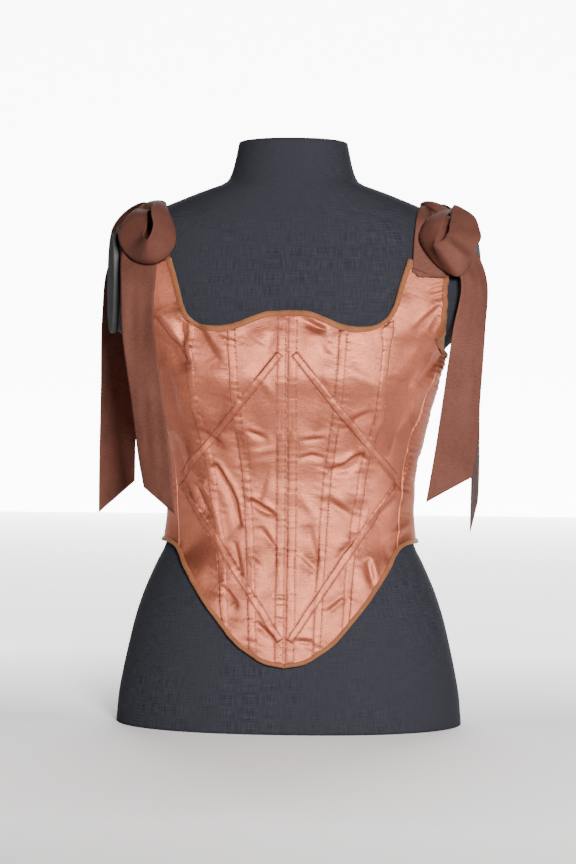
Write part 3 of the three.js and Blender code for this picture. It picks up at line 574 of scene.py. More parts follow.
CHANNEL_WIDTH = 9.6
CREASE_SIZE, CREASE_ENDS = 3.3, 0.35
HOLLOW = {"spread": 1.3, "steeper_above": 0.85}
RIDGE = {"share": 0.38, "off": 1.15, "spread": 0.95}
PROUD = {"share": 0.6, "spread": 0.9}
RIPPLE_SIZE, RIPPLE_REACH = 0.16, 7
RUCHING = {"size": 0.55, "off_seam": 5, "half": 7, "from": 200, "fade": 60}
CALM_POINT = {"z": 60, "fade": 12, "least": 0.3}
FRONT_FULLNESS, FULL_HALF = 2.2, 125
DEEPEST, PROUDEST = 1.15, 4.0


def relief(turn, z):
    """How far the satin stands off its even lie: listed creases, drag lines and gathers.
    A hollow is steep on its upper side and has a soft ridge above it."""
    place = skin(turn, z)
    behind = place[..., 1] > 0
    x = np.where(behind, BACK_SHIFT - place[..., 0], place[..., 0])
    total = np.zeros(np.shape(x))
    for points, width, depth in CREASES:
        distance, along, above_line = near(x, z, points)
        fade = CREASE_ENDS + (1 - CREASE_ENDS) * np.sin(np.pi * np.clip(along, 0.02, 0.98)) ** 0.5
        size = CREASE_SIZE * depth * fade
        if depth < 0:
            spread = HOLLOW["spread"] - HOLLOW["steeper_above"] * above_line
            total += size * hump(distance, spread * width)
            above_hollow = distance - RIDGE["off"] * width
            total -= RIDGE["share"] * size * above_line * hump(above_hollow, RIDGE["spread"] * width)
        else:
            total += PROUD["share"] * size * hump(distance, PROUD["spread"] * width)
    for wide, tall, phase, size in DRAG:
        crossing = np.sin(0.9 * wide * x - 0.35 * tall * z + 2 * phase)
        total += size * np.sin(wide * x + tall * z + phase) * crossing
    for name in ("inner", "outer"):
        apart = np.abs(np.abs(x) - seam_x(name, z)) - CHANNEL_WIDTH / 2
        hold = hump(np.maximum(apart, 0), RIPPLE_REACH)
        for rate, phase, size in RIPPLE:
            drift = np.sin(0.11 * z + 0.19 * x + 2 * phase)
            total += RIPPLE_SIZE * size * hold * drift * np.sin(rate * z + 0.16 * x + phase)
    past = np.abs(x) - seam_x("side_front", z) - RUCHING["off_seam"]
    high_up = np.clip((z - RUCHING["from"]) / RUCHING["fade"], 0, 1)
    ruched = hump(past, RUCHING["half"]) * high_up * (1 - behind)
    total += RUCHING["size"] * ruched * np.sin(1.05 * z + 1.6 * np.sin(0.17 * z) + 0.2 * x)
    total = total * np.clip((z - CALM_POINT["z"]) / CALM_POINT["fade"], CALM_POINT["least"], 1)
    over_floor = total + FRONT_FULLNESS * hump(x, FULL_HALF, 4) + DEEPEST
    return np.minimum(0.5 * (over_floor + np.hypot(over_floor, 0.5)) - DEEPEST, PROUDEST)


# Painted shade along the stitch lines of sewn-down strips: its inset from the strip's edge, where it starts
# and stops fading, and its greatest strength.
PAINTED_STITCH_SHADE = {"inset": 0.9, "near": 0.1, "far": 0.6, "most": 0.52}


def satin_finish(name, strip_width=None):
    """Heavy satin: long floats of thread that shine, with a faint slub, a little dust and softer worn spots.
    On a sewn-down strip the colour is darkened along each stitch line: painted shade for the sunken stitch
    groove."""
    finish = Finish(name)
    cloth, object_places = finish.places(), finish.places(False)
    floats, slub = finish.threads(cloth, 2600, 160, 2.0), finish.threads(cloth, 60, 900)
    dents = finish.noise(object_places, 95.0, 4.0, 0.6)
    cloud = finish.noise(object_places, 14.0, 2.0, 0.5)
    speck = finish.noise(object_places, 900.0, 2.0, 0.6)
    colour = finish.blend(cloud, 0.35, 0.65, (0.325, 0.090, 0.051), (0.415, 0.126, 0.074))
    colour = finish.blend(floats * 0.5 + slub * 0.5, 0.3, 0.7, colour, (0.570, 0.195, 0.118), 0.6)
    colour = finish.blend(speck, 0.38, 0.66, colour, (0.200, 0.055, 0.032), 0.45)
    # Painted shade: the colour runs into a dark brown along each stitch line, for the shade in the sunken
    # groove.
    if strip_width:
        aside = finish.node("ShaderNodeSeparateXYZ", {}, {"Vector": cloth})
        line = (strip_width / 2 - PAINTED_STITCH_SHADE["inset"]) * MM
        from_stitch = abs(abs(aside - strip_width * MM / 2) - line)
        near_line, far_line = PAINTED_STITCH_SHADE["near"] * MM, PAINTED_STITCH_SHADE["far"] * MM
        shade = finish.ranged(from_stitch, near_line, far_line, PAINTED_STITCH_SHADE["most"], 0.0)
        colour = finish.mixed(shade, colour, (0.150, 0.040, 0.022))
    height = floats * 0.3 + slub * 0.4 + dents
    return finish.surface(
        Base_Color=colour,
        Roughness=finish.ranged(slub * 0.5 + dents * 0.5, 0.3, 0.7, 0.49, 0.61),
        Metallic=0.87,
        Specular_IOR_Level=0.5,
        Anisotropic=0.5,
        Normal=finish.bump(height, 0.0011, 0.55),
    )


SATIN = satin_finish("rose copper satin")


def flat_size(place):
    """Width, length and area of the cloth that a grid was cut from, in metres."""
    u, v = np.meshgrid(np.linspace(0, 1, 25), np.linspace(0, 1, 49))
    points = place(u.ravel(), v.ravel()).reshape(49, 25, 3) * MM
    across, along = np.diff(points, axis=1), np.diff(points, axis=0)
    width = np.linalg.norm(across, axis=2).sum(axis=1).max()
    length = np.linalg.norm(along, axis=2).sum(axis=0).max()
    cells = np.linalg.norm(np.cross(across[:-1], along[:, :-1]), axis=2)
    return width, length, cells.sum()


NARROWEST_CUT, SMALLEST_SHARE = 0.0105, 0.31


def cut_cloth(piece, even, material, nodes):
    """Dresses a finished piece of cloth; its cut, from the even lie without its creases, is worked out but
    not kept.
    """
    piece.data.materials.append(material)
    width, length, area = flat_size(even)
    width, length = round(max(width, NARROWEST_CUT), 4), round(length, 4)
    area = min(max(area, SMALLEST_SHARE * width * length), width * length)
    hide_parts(*nodes)
    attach(piece, "root")


def coons(left, right, bottom, top):
    """Places between four edges that share their corners."""

    def place(u, v):
        sides = [a + (b - a) * u for a, b in zip(left(v), right(v))]
        ends = [a + (b - a) * v for a, b in zip(bottom(u), top(u))]
        corners = [edge(np.float64(end)) for edge in (bottom, top) for end in (0, 1)]
        straight = [
            (corners[0][k] + (corners[1][k] - corners[0][k]) * u) * (1 - v)
            + (corners[2][k] + (corners[3][k] - corners[2][k]) * u) * v
            for k in (0, 1)
        ]
        return sides[0] + ends[0] - straight[0], sides[1] + ends[1] - straight[1]

    return place


def stretch(path, start, end):
    return lambda t: path(start + (end - start) * np.asarray(t, float))


def along_seam(seam, start, end):
    def walk(t):
        z = start + (end - start) * np.asarray(t, float)
        return seam(z), z

    return walk


def joined(first, second, knee):
    def walk(t):
        t = np.asarray(t, float)
        low, high = first(np.clip(t / knee, 0, 1)), second(np.clip((t - knee) / (1 - knee), 0, 1))
        return tuple(np.where(t < knee, a, b) for a, b in zip(low, high))

    return walk


def panel_places(left_name, right_name, top_edge):
    left_seam, right_seam = seam_turn(left_name), seam_turn(right_name)
    bottom = stretch(raw_hem, meeting(raw_hem, left_seam), meeting(raw_hem, right_seam))
    top = stretch(top_edge, meeting(top_edge, left_seam), meeting(top_edge, right_seam))
    left = along_seam(left_seam, bottom(0.0)[1], top(0.0)[1])
    right = along_seam(right_seam, bottom(1.0)[1], top(1.0)[1])
    return coons(left, right, bottom, top)


STRAP_KNEE = 16 / 21


def strap_places(neck_name, arm_name, neck_edge, arm_edge, arm_first):
    """A side panel that runs up into a shoulder strap, between a neckline and the armhole."""
    sides = []
    for name, edge in ((neck_name, neck_edge), (arm_name, arm_edge)):
        seam = seam_turn(name)
        low, start = meeting(raw_hem, seam), meeting(edge, seam)
        up_seam = along_seam(seam, raw_hem(low)[1], edge(start)[1])
        sides.append((joined(up_seam, stretch(edge, start, 1), STRAP_KNEE), low))
    (left, low_left), (right, low_right) = reversed(sides) if arm_first else sides

    def top(t):
        return tuple(a + (b - a) * t for a, b in zip(left(1.0), right(1.0)))

    return coons(left, right, stretch(raw_hem, low_left, low_right), top)


def forward(path):
    return lambda t: path(1 - np.asarray(t, float))


front_strap = strap_places("outer", "side_front", raw_neck_front, forward(raw_armhole), False)
back_strap = strap_places("back", "side_back", raw_neck_back, raw_armhole, True)
PANELS = {
    "front_centre": (panel_places("centre_front", "inner", raw_neck_front), 34, 250),
    "front_mid": (panel_places("inner", "outer", raw_neck_front), 32, 240),
    "front_side": (front_strap, 56, 270),
    "side": (panel_places("side_front", "side_back", raw_armhole), 60, 130),
    "back_side": (back_strap, 34, 110),
    "back_centre": (panel_places("back", "centre_back", forward(raw_neck_back)), 22, 90),
}
SEAM_ROLL = {"reach": 0.9, "depth": 1.1, "lowest": -1.2}


def panel_grid(place, side, flat=False):
    """Points of a panel. Its seam edges turn down into the seam, which shows as a fine line."""

    def points(u, v):
        u = 1 - u if side < 0 else u
        turn, z = place(u, v)
        scale = turn_length(turn, z)
        left, right = place(np.zeros_like(u), v), place(np.ones_like(u), v)
        width = np.hypot((right[0] - left[0]) * scale, right[1] - left[1])
        turn = turn + SEAM_GAP / 2 / scale * (1 - 2 * u)
        if flat:
            return above(side * turn, z, np.full_like(z, PANEL_HEIGHT))
        edge = np.minimum(u, 1 - u) * width
        roll = SEAM_ROLL["depth"] * hump(edge, SEAM_ROLL["reach"])
        lie = np.maximum(relief(side * turn, z) - roll, SEAM_ROLL["lowest"])
        return above(side * turn, z, PANEL_HEIGHT + lie)

    return points


for letter, side in SIDES:
    for name, (place, columns, rows) in PANELS.items():
        piece = cloth_mesh(f"satin_{name}_{letter}", columns, rows, panel_grid(place, side), PANEL_WALL)
        even = panel_grid(place, side, flat=True)
        cut_cloth(piece, even, SATIN, [f"panel_{name}_{letter}"])

# The boning channels: strips of the same satin with a flat bone inside, sewn down along both edges.
# One stands on each side of the centre front seam and one on each of the two seams beside it, hem to neck.
CHANNEL_CROWN, CHANNEL_EDGE, STITCH_INSET = 0.95, 0.35, 1.0
CENTRE_WIDTH = 10.4
SHEARED, ROUNDED, SUNK, STRIP_WALL = 22, 2.0, 0.9, 0.5
INSIDE_FORM = (0, 0, 300)
BINDING_WIDTH, HEM_SHARE = 5.5, 0.76
UNDER_HEM, UNDER_NECK = 1.0, 1.2
rng = np.random.default_rng(21)
GATHERS = [(rng.uniform(0.45, 1.15), rng.uniform(0, 6.28), rng.uniform(0.4, 1)) for _ in range(5)]


def channel_profile(aside, width, crown):
    """Height of a channel over the cloth beneath: folded edge, sunken stitch line, rounded middle."""
    inward = width / 2 - np.abs(aside)
    dome = crown * np.clip(1 - (np.abs(aside) / (width / 2 - STITCH_INSET)) ** 3, 0, 1) ** 0.7
    return 0.12 + CHANNEL_EDGE * hump(inward, 0.5) + dome


def gathered(distance, seed):
    """Small uneven gathers along a sewn strip."""
    waves = (size * np.sin(rate * distance + phase + seed) for rate, phase, size in GATHERS)
    return sum(waves) / len(GATHERS)


def upright_lift(turn, z):
    """How much the upright channels raise whatever is sewn over them."""
    x = np.abs(skin(turn, z)[..., 0])
    lift = np.zeros(np.shape(x))
    for centre in ((CENTRE_WIDTH + SEAM_GAP) / 2, seam_x("inner", z), seam_x("outer", z)):
        lift = np.maximum(lift, CHANNEL_CROWN * hump(x - centre, 0.45 * CHANNEL_WIDTH, 4))
    return lift


def channel_grid(path, length, width, crown, side, seed, over_uprights=False, slopes=(0, 0), flat=False):
    """Points of a sewn-down strip. The slopes shear its two ends to the slant of the edges they run under."""

    def points(u, v):
        u = 1 - u if side < 0 else u
        aside = (u - 0.5) * width
        turn, z = beside(path, v, -aside)
        z = z + aside * slopes[0] * np.clip(1 - v * length / SHEARED, 0, 1)
        z = z + aside * slopes[1] * np.clip(1 - (1 - v) * length / SHEARED, 0, 1)
        if flat:
            return above(side * turn, z, np.full_like(z, PANEL_HEIGHT))
        ends = np.clip(np.minimum(v, 1 - v) * length / ROUNDED, 0, 1) ** 0.5
        pinch = gathered(v * length, seed) * (0.22 + 0.42 * hump(width / 2 - np.abs(aside), 2))
        height = PANEL_HEIGHT + relief(side * turn, z) + channel_profile(aside, width, crown * ends) + pinch
        if over_uprights:
            height = height + upright_lift(turn, z)
        return above(side * turn, z, np.maximum(height, PANEL_HEIGHT - SUNK))

    return points


def path_length(path):
    turn, z = path(np.linspace(0, 1, 200))
    return np.linalg.norm(np.diff(skin(turn, z), axis=0), axis=1).sum()


def beside_centre(z):
    return turn_at((CENTRE_WIDTH + SEAM_GAP) / 2, np.asarray(z, float))


def edge_crossing(edge, seam, past):
    """Where a channel on a seam ends under an edge's binding: its height there and the slope of the edge."""
    along = meeting(edge, seam)
    (x0, _, z0), (x1, _, z1) = (skin(*edge(along + step)) for step in (-0.006, 0.006))
    slope = (z1 - z0) / (x1 - x0)
    steepest = 1.2 if past > 0 else 0.4
    return float(edge(along)[1] + past * math.hypot(1, slope)), float(min(slope, steepest))


UPRIGHTS = {
    "centre": (beside_centre, ["casing_centre"]),
    "inner": (seam_turn("inner"), ["casing_inner_low", "casing_inner_middle", "casing_inner_top"]),
    "outer": (seam_turn("outer"), ["casing_outer_low", "casing_outer_middle", "casing_outer_top"]),
}
STRIP_SATIN = {
    width: satin_finish(f"satin strip {width} mm", width) for width in (CENTRE_WIDTH, CHANNEL_WIDTH)
}
sewn_lines = []


def sew_strip(name, path, width, crown, side, seed, satin, nodes, row=1.5, **shape):
    """One channel along a path on the skin. Its two lines of stitches are noted for the thread."""
    length = path_length(path)
    shape.update(path=path, length=length, width=width, crown=crown, side=side, seed=seed)
    piece = cloth_mesh(name, 20, round(length / row), channel_grid(**shape), STRIP_WALL)
    face_out(piece, INSIDE_FORM)
    cut_cloth(piece, channel_grid(**shape, flat=True), satin, nodes)
    inset = STITCH_INSET / width
    sewn_lines.extend([(shape, inset), (shape, 1 - inset)])


for letter, side in SIDES:
    for seed, (name, (seam, nodes)) in enumerate(UPRIGHTS.items()):
        low, low_slope = edge_crossing(hem, seam, HEM_SHARE * BINDING_WIDTH - UNDER_HEM)
        high, high_slope = edge_crossing(neck_front, seam, UNDER_NECK - BINDING_WIDTH)
        width = CENTRE_WIDTH if name == "centre" else CHANNEL_WIDTH
        sew_strip(
            f"channel_{name}_{letter}", along_seam(seam, low, high), width, CHANNEL_CROWN, side,
            3 * seed + side, STRIP_SATIN[width], [f"{node}_{letter}" for node in nodes],
            slopes=(low_slope, high_slope),
        )

# The diamond: four narrower channels, each round as a cord, laid slantwise over the uprights from the
# centre front at the bust to the side seams at the waist and back to the point of the hem.
DIAMOND_WIDTH, DIAMOND_CROWN = 9.2, 1.35
DIAMOND_SATIN = satin_finish("diamond satin", DIAMOND_WIDTH)
DIAMOND = {
    "upper": ((7, 373), (106, 251)),
    "lower": ((106, 246), (4.5, 91)),
}


def slanted(start, end):
    def walk(t):
        t = np.asarray(t, float)
        z = start[1] + (end[1] - start[1]) * t
        return turn_at(start[0] + (end[0] - start[0]) * t, z), z

    return walk


for letter, side in SIDES:
    for seed, (name, (start, end)) in enumerate(DIAMOND.items()):
        sew_strip(
            f"diamond_{name}_{letter}", slanted(start, end), DIAMOND_WIDTH, DIAMOND_CROWN, side,
            20 + 5 * seed + side, DIAMOND_SATIN, [f"casing_diamond_{name}_{letter}"],
            row=1.6, over_uprights=True,
        )

# The bindings: caramel bias tape folded round every raw edge and sewn through near its inner fold. It rolls
# a little and gathers finely on the curves.
FOLD = [(0.0, 2.95), (0.35, 3.9), (1.3, 4.45), (2.8, 4.55), (4.3, 4.25), (5.1, 3.8), (5.5, 3.15)]
INSIDE_FOLD = [(2.2, 0.95), (0.7, 1.1), (0.05, 1.9)]
TAPE_WALL, TAPE_STEP = 0.45, 0.004


def binding_finish():
    finish = Finish("caramel bias binding")
    cloth, object_places = finish.places(), finish.places(False)
    twill = finish.waves(cloth, 420.0, "DIAGONAL")
    fibre = finish.noise(object_places, 700.0, 3.0, 0.6)
    cloud = finish.noise(object_places, 55.0, 3.0, 0.55)
    colour = finish.blend(cloud, 0.3, 0.7, (0.105, 0.030, 0.009), (0.190, 0.058, 0.017))
    colour = finish.blend(fibre, 0.35, 0.75, colour, (0.250, 0.084, 0.026), 0.5)
    return finish.surface(
        Base_Color=colour,
        Roughness=0.7,
        Specular_IOR_Level=0.3,
        Sheen_Weight=0.2,
        Sheen_Roughness=0.5,
        Sheen_Tint=(0.9, 0.6, 0.4, 1),
        Normal=finish.bump(twill * 0.4 + fibre * 0.6 + cloud * 0.8, 0.0006, 0.6),
    )


BINDING = binding_finish()


def binding_grid(path, length, to_cloth, seed, flat=False):
    """Tape round an edge: u runs round the fold from inside to outside, v along the edge."""
    fold = smooth_line(INSIDE_FOLD + FOLD, 12)
    around = np.linspace(0, 1, len(fold))

    def points(u, v):
        aside, height = np.interp(u, around, fold[:, 0]), np.interp(u, around, fold[:, 1])
        pinch = gathered(v * length * 1.4, seed)
        aside = (aside + (0 if flat else 0.25 * gathered(v * length * 0.4, seed + 2))) * to_cloth
        turn, z = beside(path, v, aside, TAPE_STEP, closed=True)
        raw_edge = beside(path, v, CLOTH_INSET * to_cloth, TAPE_STEP, closed=True)
        lift = 0 if flat else np.maximum(relief(*raw_edge), -0.7) + 0.22 * pinch * (height > 3)
        return above(turn, z, height + lift)

    return points


def mirrored(path, behind=False):
    """A path carried on to its mirror image, over the centre front or over the centre back."""

    def walk(t):
        t = np.asarray(t, float)
        turn, z = path(np.abs(2 * t - 1))
        near_half, far_half = (turn, 2 * np.pi - turn) if behind else (-turn, turn)
        return np.where(t < 0.5, near_half, far_half), z

    return walk


def all_round(path):
    def walk(t):
        lap = np.floor(t)
        t = np.asarray(t, float) - lap
        turn, z = path(np.where(t < 0.5, 2 * t, 2 - 2 * t))
        return np.where(t < 0.5, turn, 2 * np.pi - turn) + 2 * np.pi * lap, z

    return walk


def other_side(path):
    def walk(t):
        turn, z = path(1 - np.asarray(t, float))
        return -turn, z

    return walk


BINDINGS = {
    "binding_neck_front": (mirrored(neck_front), -1),
    "binding_neck_back": (mirrored(neck_back, behind=True), -1),
    "binding_hem": (all_round(hem), HEM_SHARE),
    "binding_armhole_r": (armhole, -1),
    "binding_armhole_l": (other_side(armhole), -1),
}
bound_lines = []
for seed, (node, (path, to_cloth)) in enumerate(BINDINGS.items()):
    length = path_length(path)
    grid = binding_grid(path, length, to_cloth, seed * 2)
    piece = cloth_mesh(node.replace("binding", "bias_tape"), 18, round(length / 1.8), grid, TAPE_WALL)
    mend_ring(piece)
    face_out(piece, INSIDE_FORM)
    even = binding_grid(path, length, to_cloth, seed, flat=True)
    cut_cloth(piece, even, BINDING, [node])
    bound_lines.append((grid, length))

# The stitching: short, slightly sunk stitches of matching thread along both edges of every channel and
# along the inner fold of the bindings.
STITCH = {"length": 1.7, "gap": 1.5, "radius": 0.38}
BINDING_STITCH_AT, CROSS_LIFT = 0.9, 0.6


def thread_finish(name, dark, light):
    finish = Finish(name)
    twist = finish.noise(finish.places(False), 1500.0, 2.0, 0.5)
    colour = finish.blend(twist, 0.3, 0.7, dark, light)
    return finish.surface(Base_Color=colour, Roughness=0.55, Normal=finish.bump(twist, 0.0002))


def stitched(name, lines, material):
    """Stitches along lines of points, each a small drawn-out bead lying on the cloth."""
    bm = bmesh.new()
    for points in lines:
        walked = np.concatenate([[0], np.cumsum(np.linalg.norm(np.diff(points, axis=0), axis=1))])
        spacing = STITCH["length"] + STITCH["gap"]
        for start in np.arange(spacing / 2, walked[-1] - spacing, spacing):
            ends = [
                Vector([np.interp(start + step, walked, points[:, k]) for k in range(3)])
                for step in (0, STITCH["length"])
            ]
            along = (ends[1] - ends[0]).normalized()
            middle = (ends[0] + ends[1]) / 2
            turn = along.to_track_quat("Z", "Y").to_matrix().to_4x4()
            size = Matrix.Diagonal((STITCH["radius"], STITCH["radius"], STITCH["length"] / 2, 1))
            place = Matrix.Translation(middle * MM) @ turn @ Matrix.Scale(MM, 4) @ size
            bmesh.ops.create_icosphere(bm, subdivisions=1, radius=1, matrix=place)
    piece = made(name, bm, material)
    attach(piece, "root")


ROSE_THREAD = thread_finish("rose thread", (0.060, 0.016, 0.010), (0.130, 0.038, 0.023))
CARAMEL_THREAD = thread_finish("caramel thread", (0.150, 0.042, 0.012), (0.280, 0.090, 0.026))
POINT_CROSS = (((-7, 74), (7, 89)), ((-7, 89), (7, 74)))
THREAD_STEP = 1.5
channel_lines = []
for shape, across in sewn_lines:
    steps = np.linspace(0.005, 0.995, round(shape["length"] / THREAD_STEP))
    channel_lines.append(channel_grid(**shape)(np.full_like(steps, across), steps))
for start, end in POINT_CROSS:
    steps = np.linspace(0, 1, 24)
    x, z = (start[k] + (end[k] - start[k]) * steps for k in (0, 1))
    turn = np.sign(x) * turn_at(x, z)
    channel_lines.append(above(turn, z, PANEL_HEIGHT + CHANNEL_CROWN + CROSS_LIFT + relief(turn, z)))
stitched("channel_stitches", channel_lines, ROSE_THREAD)
binding_lines = []
for grid, length in bound_lines:
    steps = np.linspace(0.003, 0.997, round(length / THREAD_STEP))
    binding_lines.append(grid(np.full_like(steps, BINDING_STITCH_AT), steps))
stitched("binding_stitches", binding_lines, CARAMEL_THREAD)

# The shoulder ribbons: brown grosgrain ribbon, 42 mm wide, sewn to the front and the back strap, gathered
# to a knot on the shoulder and tied there in a bow of two soft loops.
RIBBON_WALL = 0.9
KNOT = {"x": 147, "half_x": 19, "half_y": 24, "half_z": 8, "height": 3, "tilt": math.radians(24)}
STRAP_RIBBONS = {
    "front_r": {"inner": (120.5, 459), "outer": (154, 446.5), "end_turn": math.radians(86), "over": 3.9},
    "front_l": {"inner": (118, 468.5), "outer": (158, 455.5), "end_turn": math.radians(86), "over": 0},
    "back": {"inner": (114, 444), "outer": (150, 431), "end_turn": math.radians(94), "over": 3.9},
}
RIBBON_HEIGHT, GATHERED_HALF, STRAP_END, STRAP_FOLD = 1.6, 15, 0.42, 1.2


def ribbon_finish():
    """Grosgrain: fine ribs across the ribbon, matt, with a faint sheen on the ribs' backs."""
    finish = Finish("brown grosgrain")
    cloth, object_places = finish.places(), finish.places(False)
    ribs = finish.waves(cloth, 260.0, "Y")
    fibre = finish.threads(cloth, 220, 1400)
    cloud = finish.noise(object_places, 22.0, 3.0, 0.55)
    colour = finish.blend(cloud, 0.3, 0.7, (0.064, 0.0220, 0.0150), (0.106, 0.039, 0.0280))
    colour = finish.blend(fibre, 0.3, 0.7, colour, (0.148, 0.064, 0.049), 0.45)
    return finish.surface(
        Base_Color=colour,
        Roughness=0.75,
        Specular_IOR_Level=0.06,
        Normal=finish.bump(ribs * 0.6 + fibre * 0.5 + cloud * 1.2, 0.0006, 0.6),
    )


RIBBON = ribbon_finish()


def over_shoulder(x, turn, height):
    """Points over the shoulder, where the skin has a given half width on a given turn."""
    needed = x * roundness(turn) / np.sin(turn)
    low, high = (np.full(np.shape(needed), float(z)) for z in (WIDEST_SHOULDER, NECK_FOOT))
    for _ in range(30):
        middle = (low + high) / 2
        wide = section_side(middle) > needed
        low, high = np.where(wide, middle, low), np.where(wide, high, middle)
    return above(turn, low, height)


def strap_ribbon_grid(shape, behind, side):
    (inner_x, inner_z), (outer_x, outer_z) = shape["inner"], shape["outer"]

    def points(u, v):
        start = inner_x + (outer_x - inner_x) * u
        end = KNOT["x"] + GATHERED_HALF * (2 * u - 1)
        start_turn = turn_at(start, inner_z + (outer_z - inner_z) * u, behind)
        turn = start_turn + (shape["end_turn"] - start_turn) * v**2
        folds = STRAP_FOLD * v**1.5 * (1 + np.cos(5.5 * np.pi * (u - 0.5)))
        over_strap = shape["over"] / (1 + np.exp((v - STRAP_END) / 0.05))
        place = over_shoulder(start + (end - start) * v, turn, RIBBON_HEIGHT + (folds + over_strap))
        return place * (side, 1, 1)

    return points


# The front loops as the viewer sees them: matching points round the wide outline and round the slit.
FRONT_LOOPS = {
    "l": ([
        (-142.2, 531.6), (-128.2, 526.1), (-118.6, 510.6), (-112.6, 491.5), (-116.1, 476.4),
        (-129.2, 464.4), (-142.2, 462.9), (-156.3, 467.4), (-168.3, 479.4), (-174.3, 495.5),
        (-167.8, 510.6), (-157.3, 523.6),
    ], [
        (-140.9, 521.2), (-138.3, 520.4), (-135.7, 510.5), (-132.9, 500.1), (-134.1, 491.7),
        (-136.9, 486.8), (-139.9, 485.2), (-143.4, 486.8), (-144.6, 490.7), (-142.8, 500.1),
        (-142.6, 508.6), (-143.8, 518.5),
    ], [(0.93, 0.035, -3.5), (0.04, 0.05, 2.0), (0.30, 0.05, -1.6), (0.50, 0.07, 1.8), (0.66, 0.05, -1.5)]),
    "r": ([
        (164.9, 529.3), (176.1, 524.3), (186, 515.9), (190.2, 503.2), (191.6, 493.5), (184.6, 479.4),
        (180.4, 465.2), (167.7, 451.8), (153.5, 458.1), (140.9, 469.4), (128.9, 489.2), (130.9, 500.5),
        (136.7, 510.3), (149.3, 519.4), (162.1, 525.7),
    ], [
        (163.4, 523.9), (161.8, 517.5), (160.4, 511.5), (159.4, 505.6), (158.6, 499.6), (157.2, 494.7),
        (153.2, 488.3), (146.3, 482.3), (141.8, 479.5), (142.8, 482.3), (145.3, 487.8), (149.3, 495.7),
        (152.2, 503.6), (156.2, 513), (161.1, 520.9),
    ], [(0.40, 0.03, 3.5), (0.34, 0.04, -2.0), (0.20, 0.06, -1.5), (0.58, 0.05, -1.8), (0.78, 0.05, 1.6)]),
}
LOOP_CLEARANCE = {"front": 8, "back": 15}
BACK_LOOPS = {
    "l": {"x": -156, "z": 503, "half": 38, "tall": 32, "slit": (-158, 506, 18, 10)},
    "r": {"x": 154, "z": 502, "half": 32, "tall": 32, "slit": (158, 504, 18, -10)},
}
SLIT_HALF, LOOP_DEPTH, LOOP_POWER, LOOP_LIFT = 5, 27, 1.5, 8
LOOP_ROOT, LOOP_LEAN = 17.5, 0.8
BACK_FOLDS = ((1.6, 3, 1), (1.0, 7, 2.3))
FRONT_FOLD, FRONT_DENT = 2.3, 0.7


def loop_foot(x, z, top, where):
    """How far before or behind the shoulder a loop's outline lies, leaning out as it falls."""
    leaning = LOOP_ROOT + (top - z) * LOOP_LEAN
    z = z - LOOP_LIFT
    depth = np.abs(skin(turn_at(x, z, where == "back"), z)[..., 1])
    form_reach = np.where(np.abs(x) < section_side(z), depth, 0)
    return np.maximum(leaning, form_reach + LOOP_CLEARANCE[where])


def back_loop_grid(loop, seed):
    """A bow loop seen from its open end: a narrow slit that flares to a wide outline at the back."""
    slit_x, slit_z, slit_length, tilt = loop["slit"]
    tilt = math.radians(tilt)

    def points(u, v):
        round_ = 2 * np.pi * v
        power = 2 / LOOP_POWER
        cos, sin = np.cos(round_), np.sin(round_)
        wide_x = loop["x"] + loop["half"] * np.sign(cos) * np.abs(cos) ** power
        wide_z = loop["z"] + loop["tall"] * np.sign(sin) * np.abs(sin) ** power
        rim_x = slit_x + SLIT_HALF * cos * math.cos(tilt) + slit_length * sin * math.sin(tilt)
        rim_z = slit_z - SLIT_HALF * cos * math.sin(tilt) + slit_length * sin * math.cos(tilt)
        far = loop_foot(wide_x, wide_z, loop["z"] + loop["tall"], "back")
        angle = u * np.pi / 2
        spread = np.sin(angle) ** 0.9
        fold = sum(size * np.sin(count * round_ + shift * seed) for size, count, shift in BACK_FOLDS)
        depth = far + LOOP_DEPTH * np.cos(angle) + np.sin(u * np.pi) * fold
        x = rim_x + (wide_x - rim_x) * spread
        z = rim_z + (wide_z - rim_z) * spread
        return np.stack([x, depth, z], axis=-1)

    return points


RING_STEPS = 16


def front_loop_grid(outline, rim, folds, seed):
    """A front loop: cloth that runs from the rim of its slit out to the outline and back to the knot."""
    rings = []
    for ring in (np.array(outline), np.array(rim)):
        line = smooth_line(np.vstack([ring[-1:], ring, ring[:2]]), RING_STEPS)
        rings.append(line[RING_STEPS : -1 - RING_STEPS])
    top = rings[0][:, 1].max()

    def points(u, v):
        around = np.linspace(0, 1, len(rings[0]) + 1)
        wide, slit = (
            np.stack([np.interp(v, around, np.append(ring[:, k], ring[0, k])) for k in (0, 1)], -1)
            for ring in rings
        )
        far = loop_foot(wide[:, 0], wide[:, 1], top, "front")
        angle = u * np.pi / 2
        spread = np.sin(angle) ** 1.1
        swell = np.zeros(np.shape(u))
        for place, width, size in folds:
            apart = np.abs((v - place + 0.5) % 1 - 0.5)
            swell += size * hump(apart, width) * np.sin(np.pi * np.clip(u * 1.05, 0, 1)) ** 0.8
        soft = FRONT_DENT * np.sin(5 * 2 * np.pi * v + seed) * np.sin(np.pi * u)
        bulge = 0.65 * (1 - spread) + 0.35 * np.cos(angle) ** 0.8
        depth = far + LOOP_DEPTH * bulge + FRONT_FOLD * swell + soft
        flat = slit + (wide - slit) * spread[:, None]
        return np.stack([flat[:, 0], -depth, flat[:, 1]], axis=-1)

    return points


for letter, side in SIDES:
    for where, behind in (("front", False), ("back", True)):
        grid = strap_ribbon_grid(STRAP_RIBBONS["back" if behind else f"front_{letter}"], behind, side)
        piece = cloth_mesh(f"strap_ribbon_{where}_{letter}", 20, 40, grid, RIBBON_WALL)
        face_out(piece, (0, 0, 420))
        cut_cloth(piece, grid, RIBBON, [f"ribbon_strap_{where}_{letter}"])
        if behind:
            grid = back_loop_grid(BACK_LOOPS[letter], 3.7 + side)
        else:
            grid = front_loop_grid(*FRONT_LOOPS[letter], side)
        piece = cloth_mesh(f"loop_{where}_{letter}", 24, 120, grid, RIBBON_WALL)
        mend_ring(piece)
        face_out(piece, (side * 150, 0, 500))
        cut_cloth(piece, grid, RIBBON, [f"bow_loop_{where}_{letter}"])

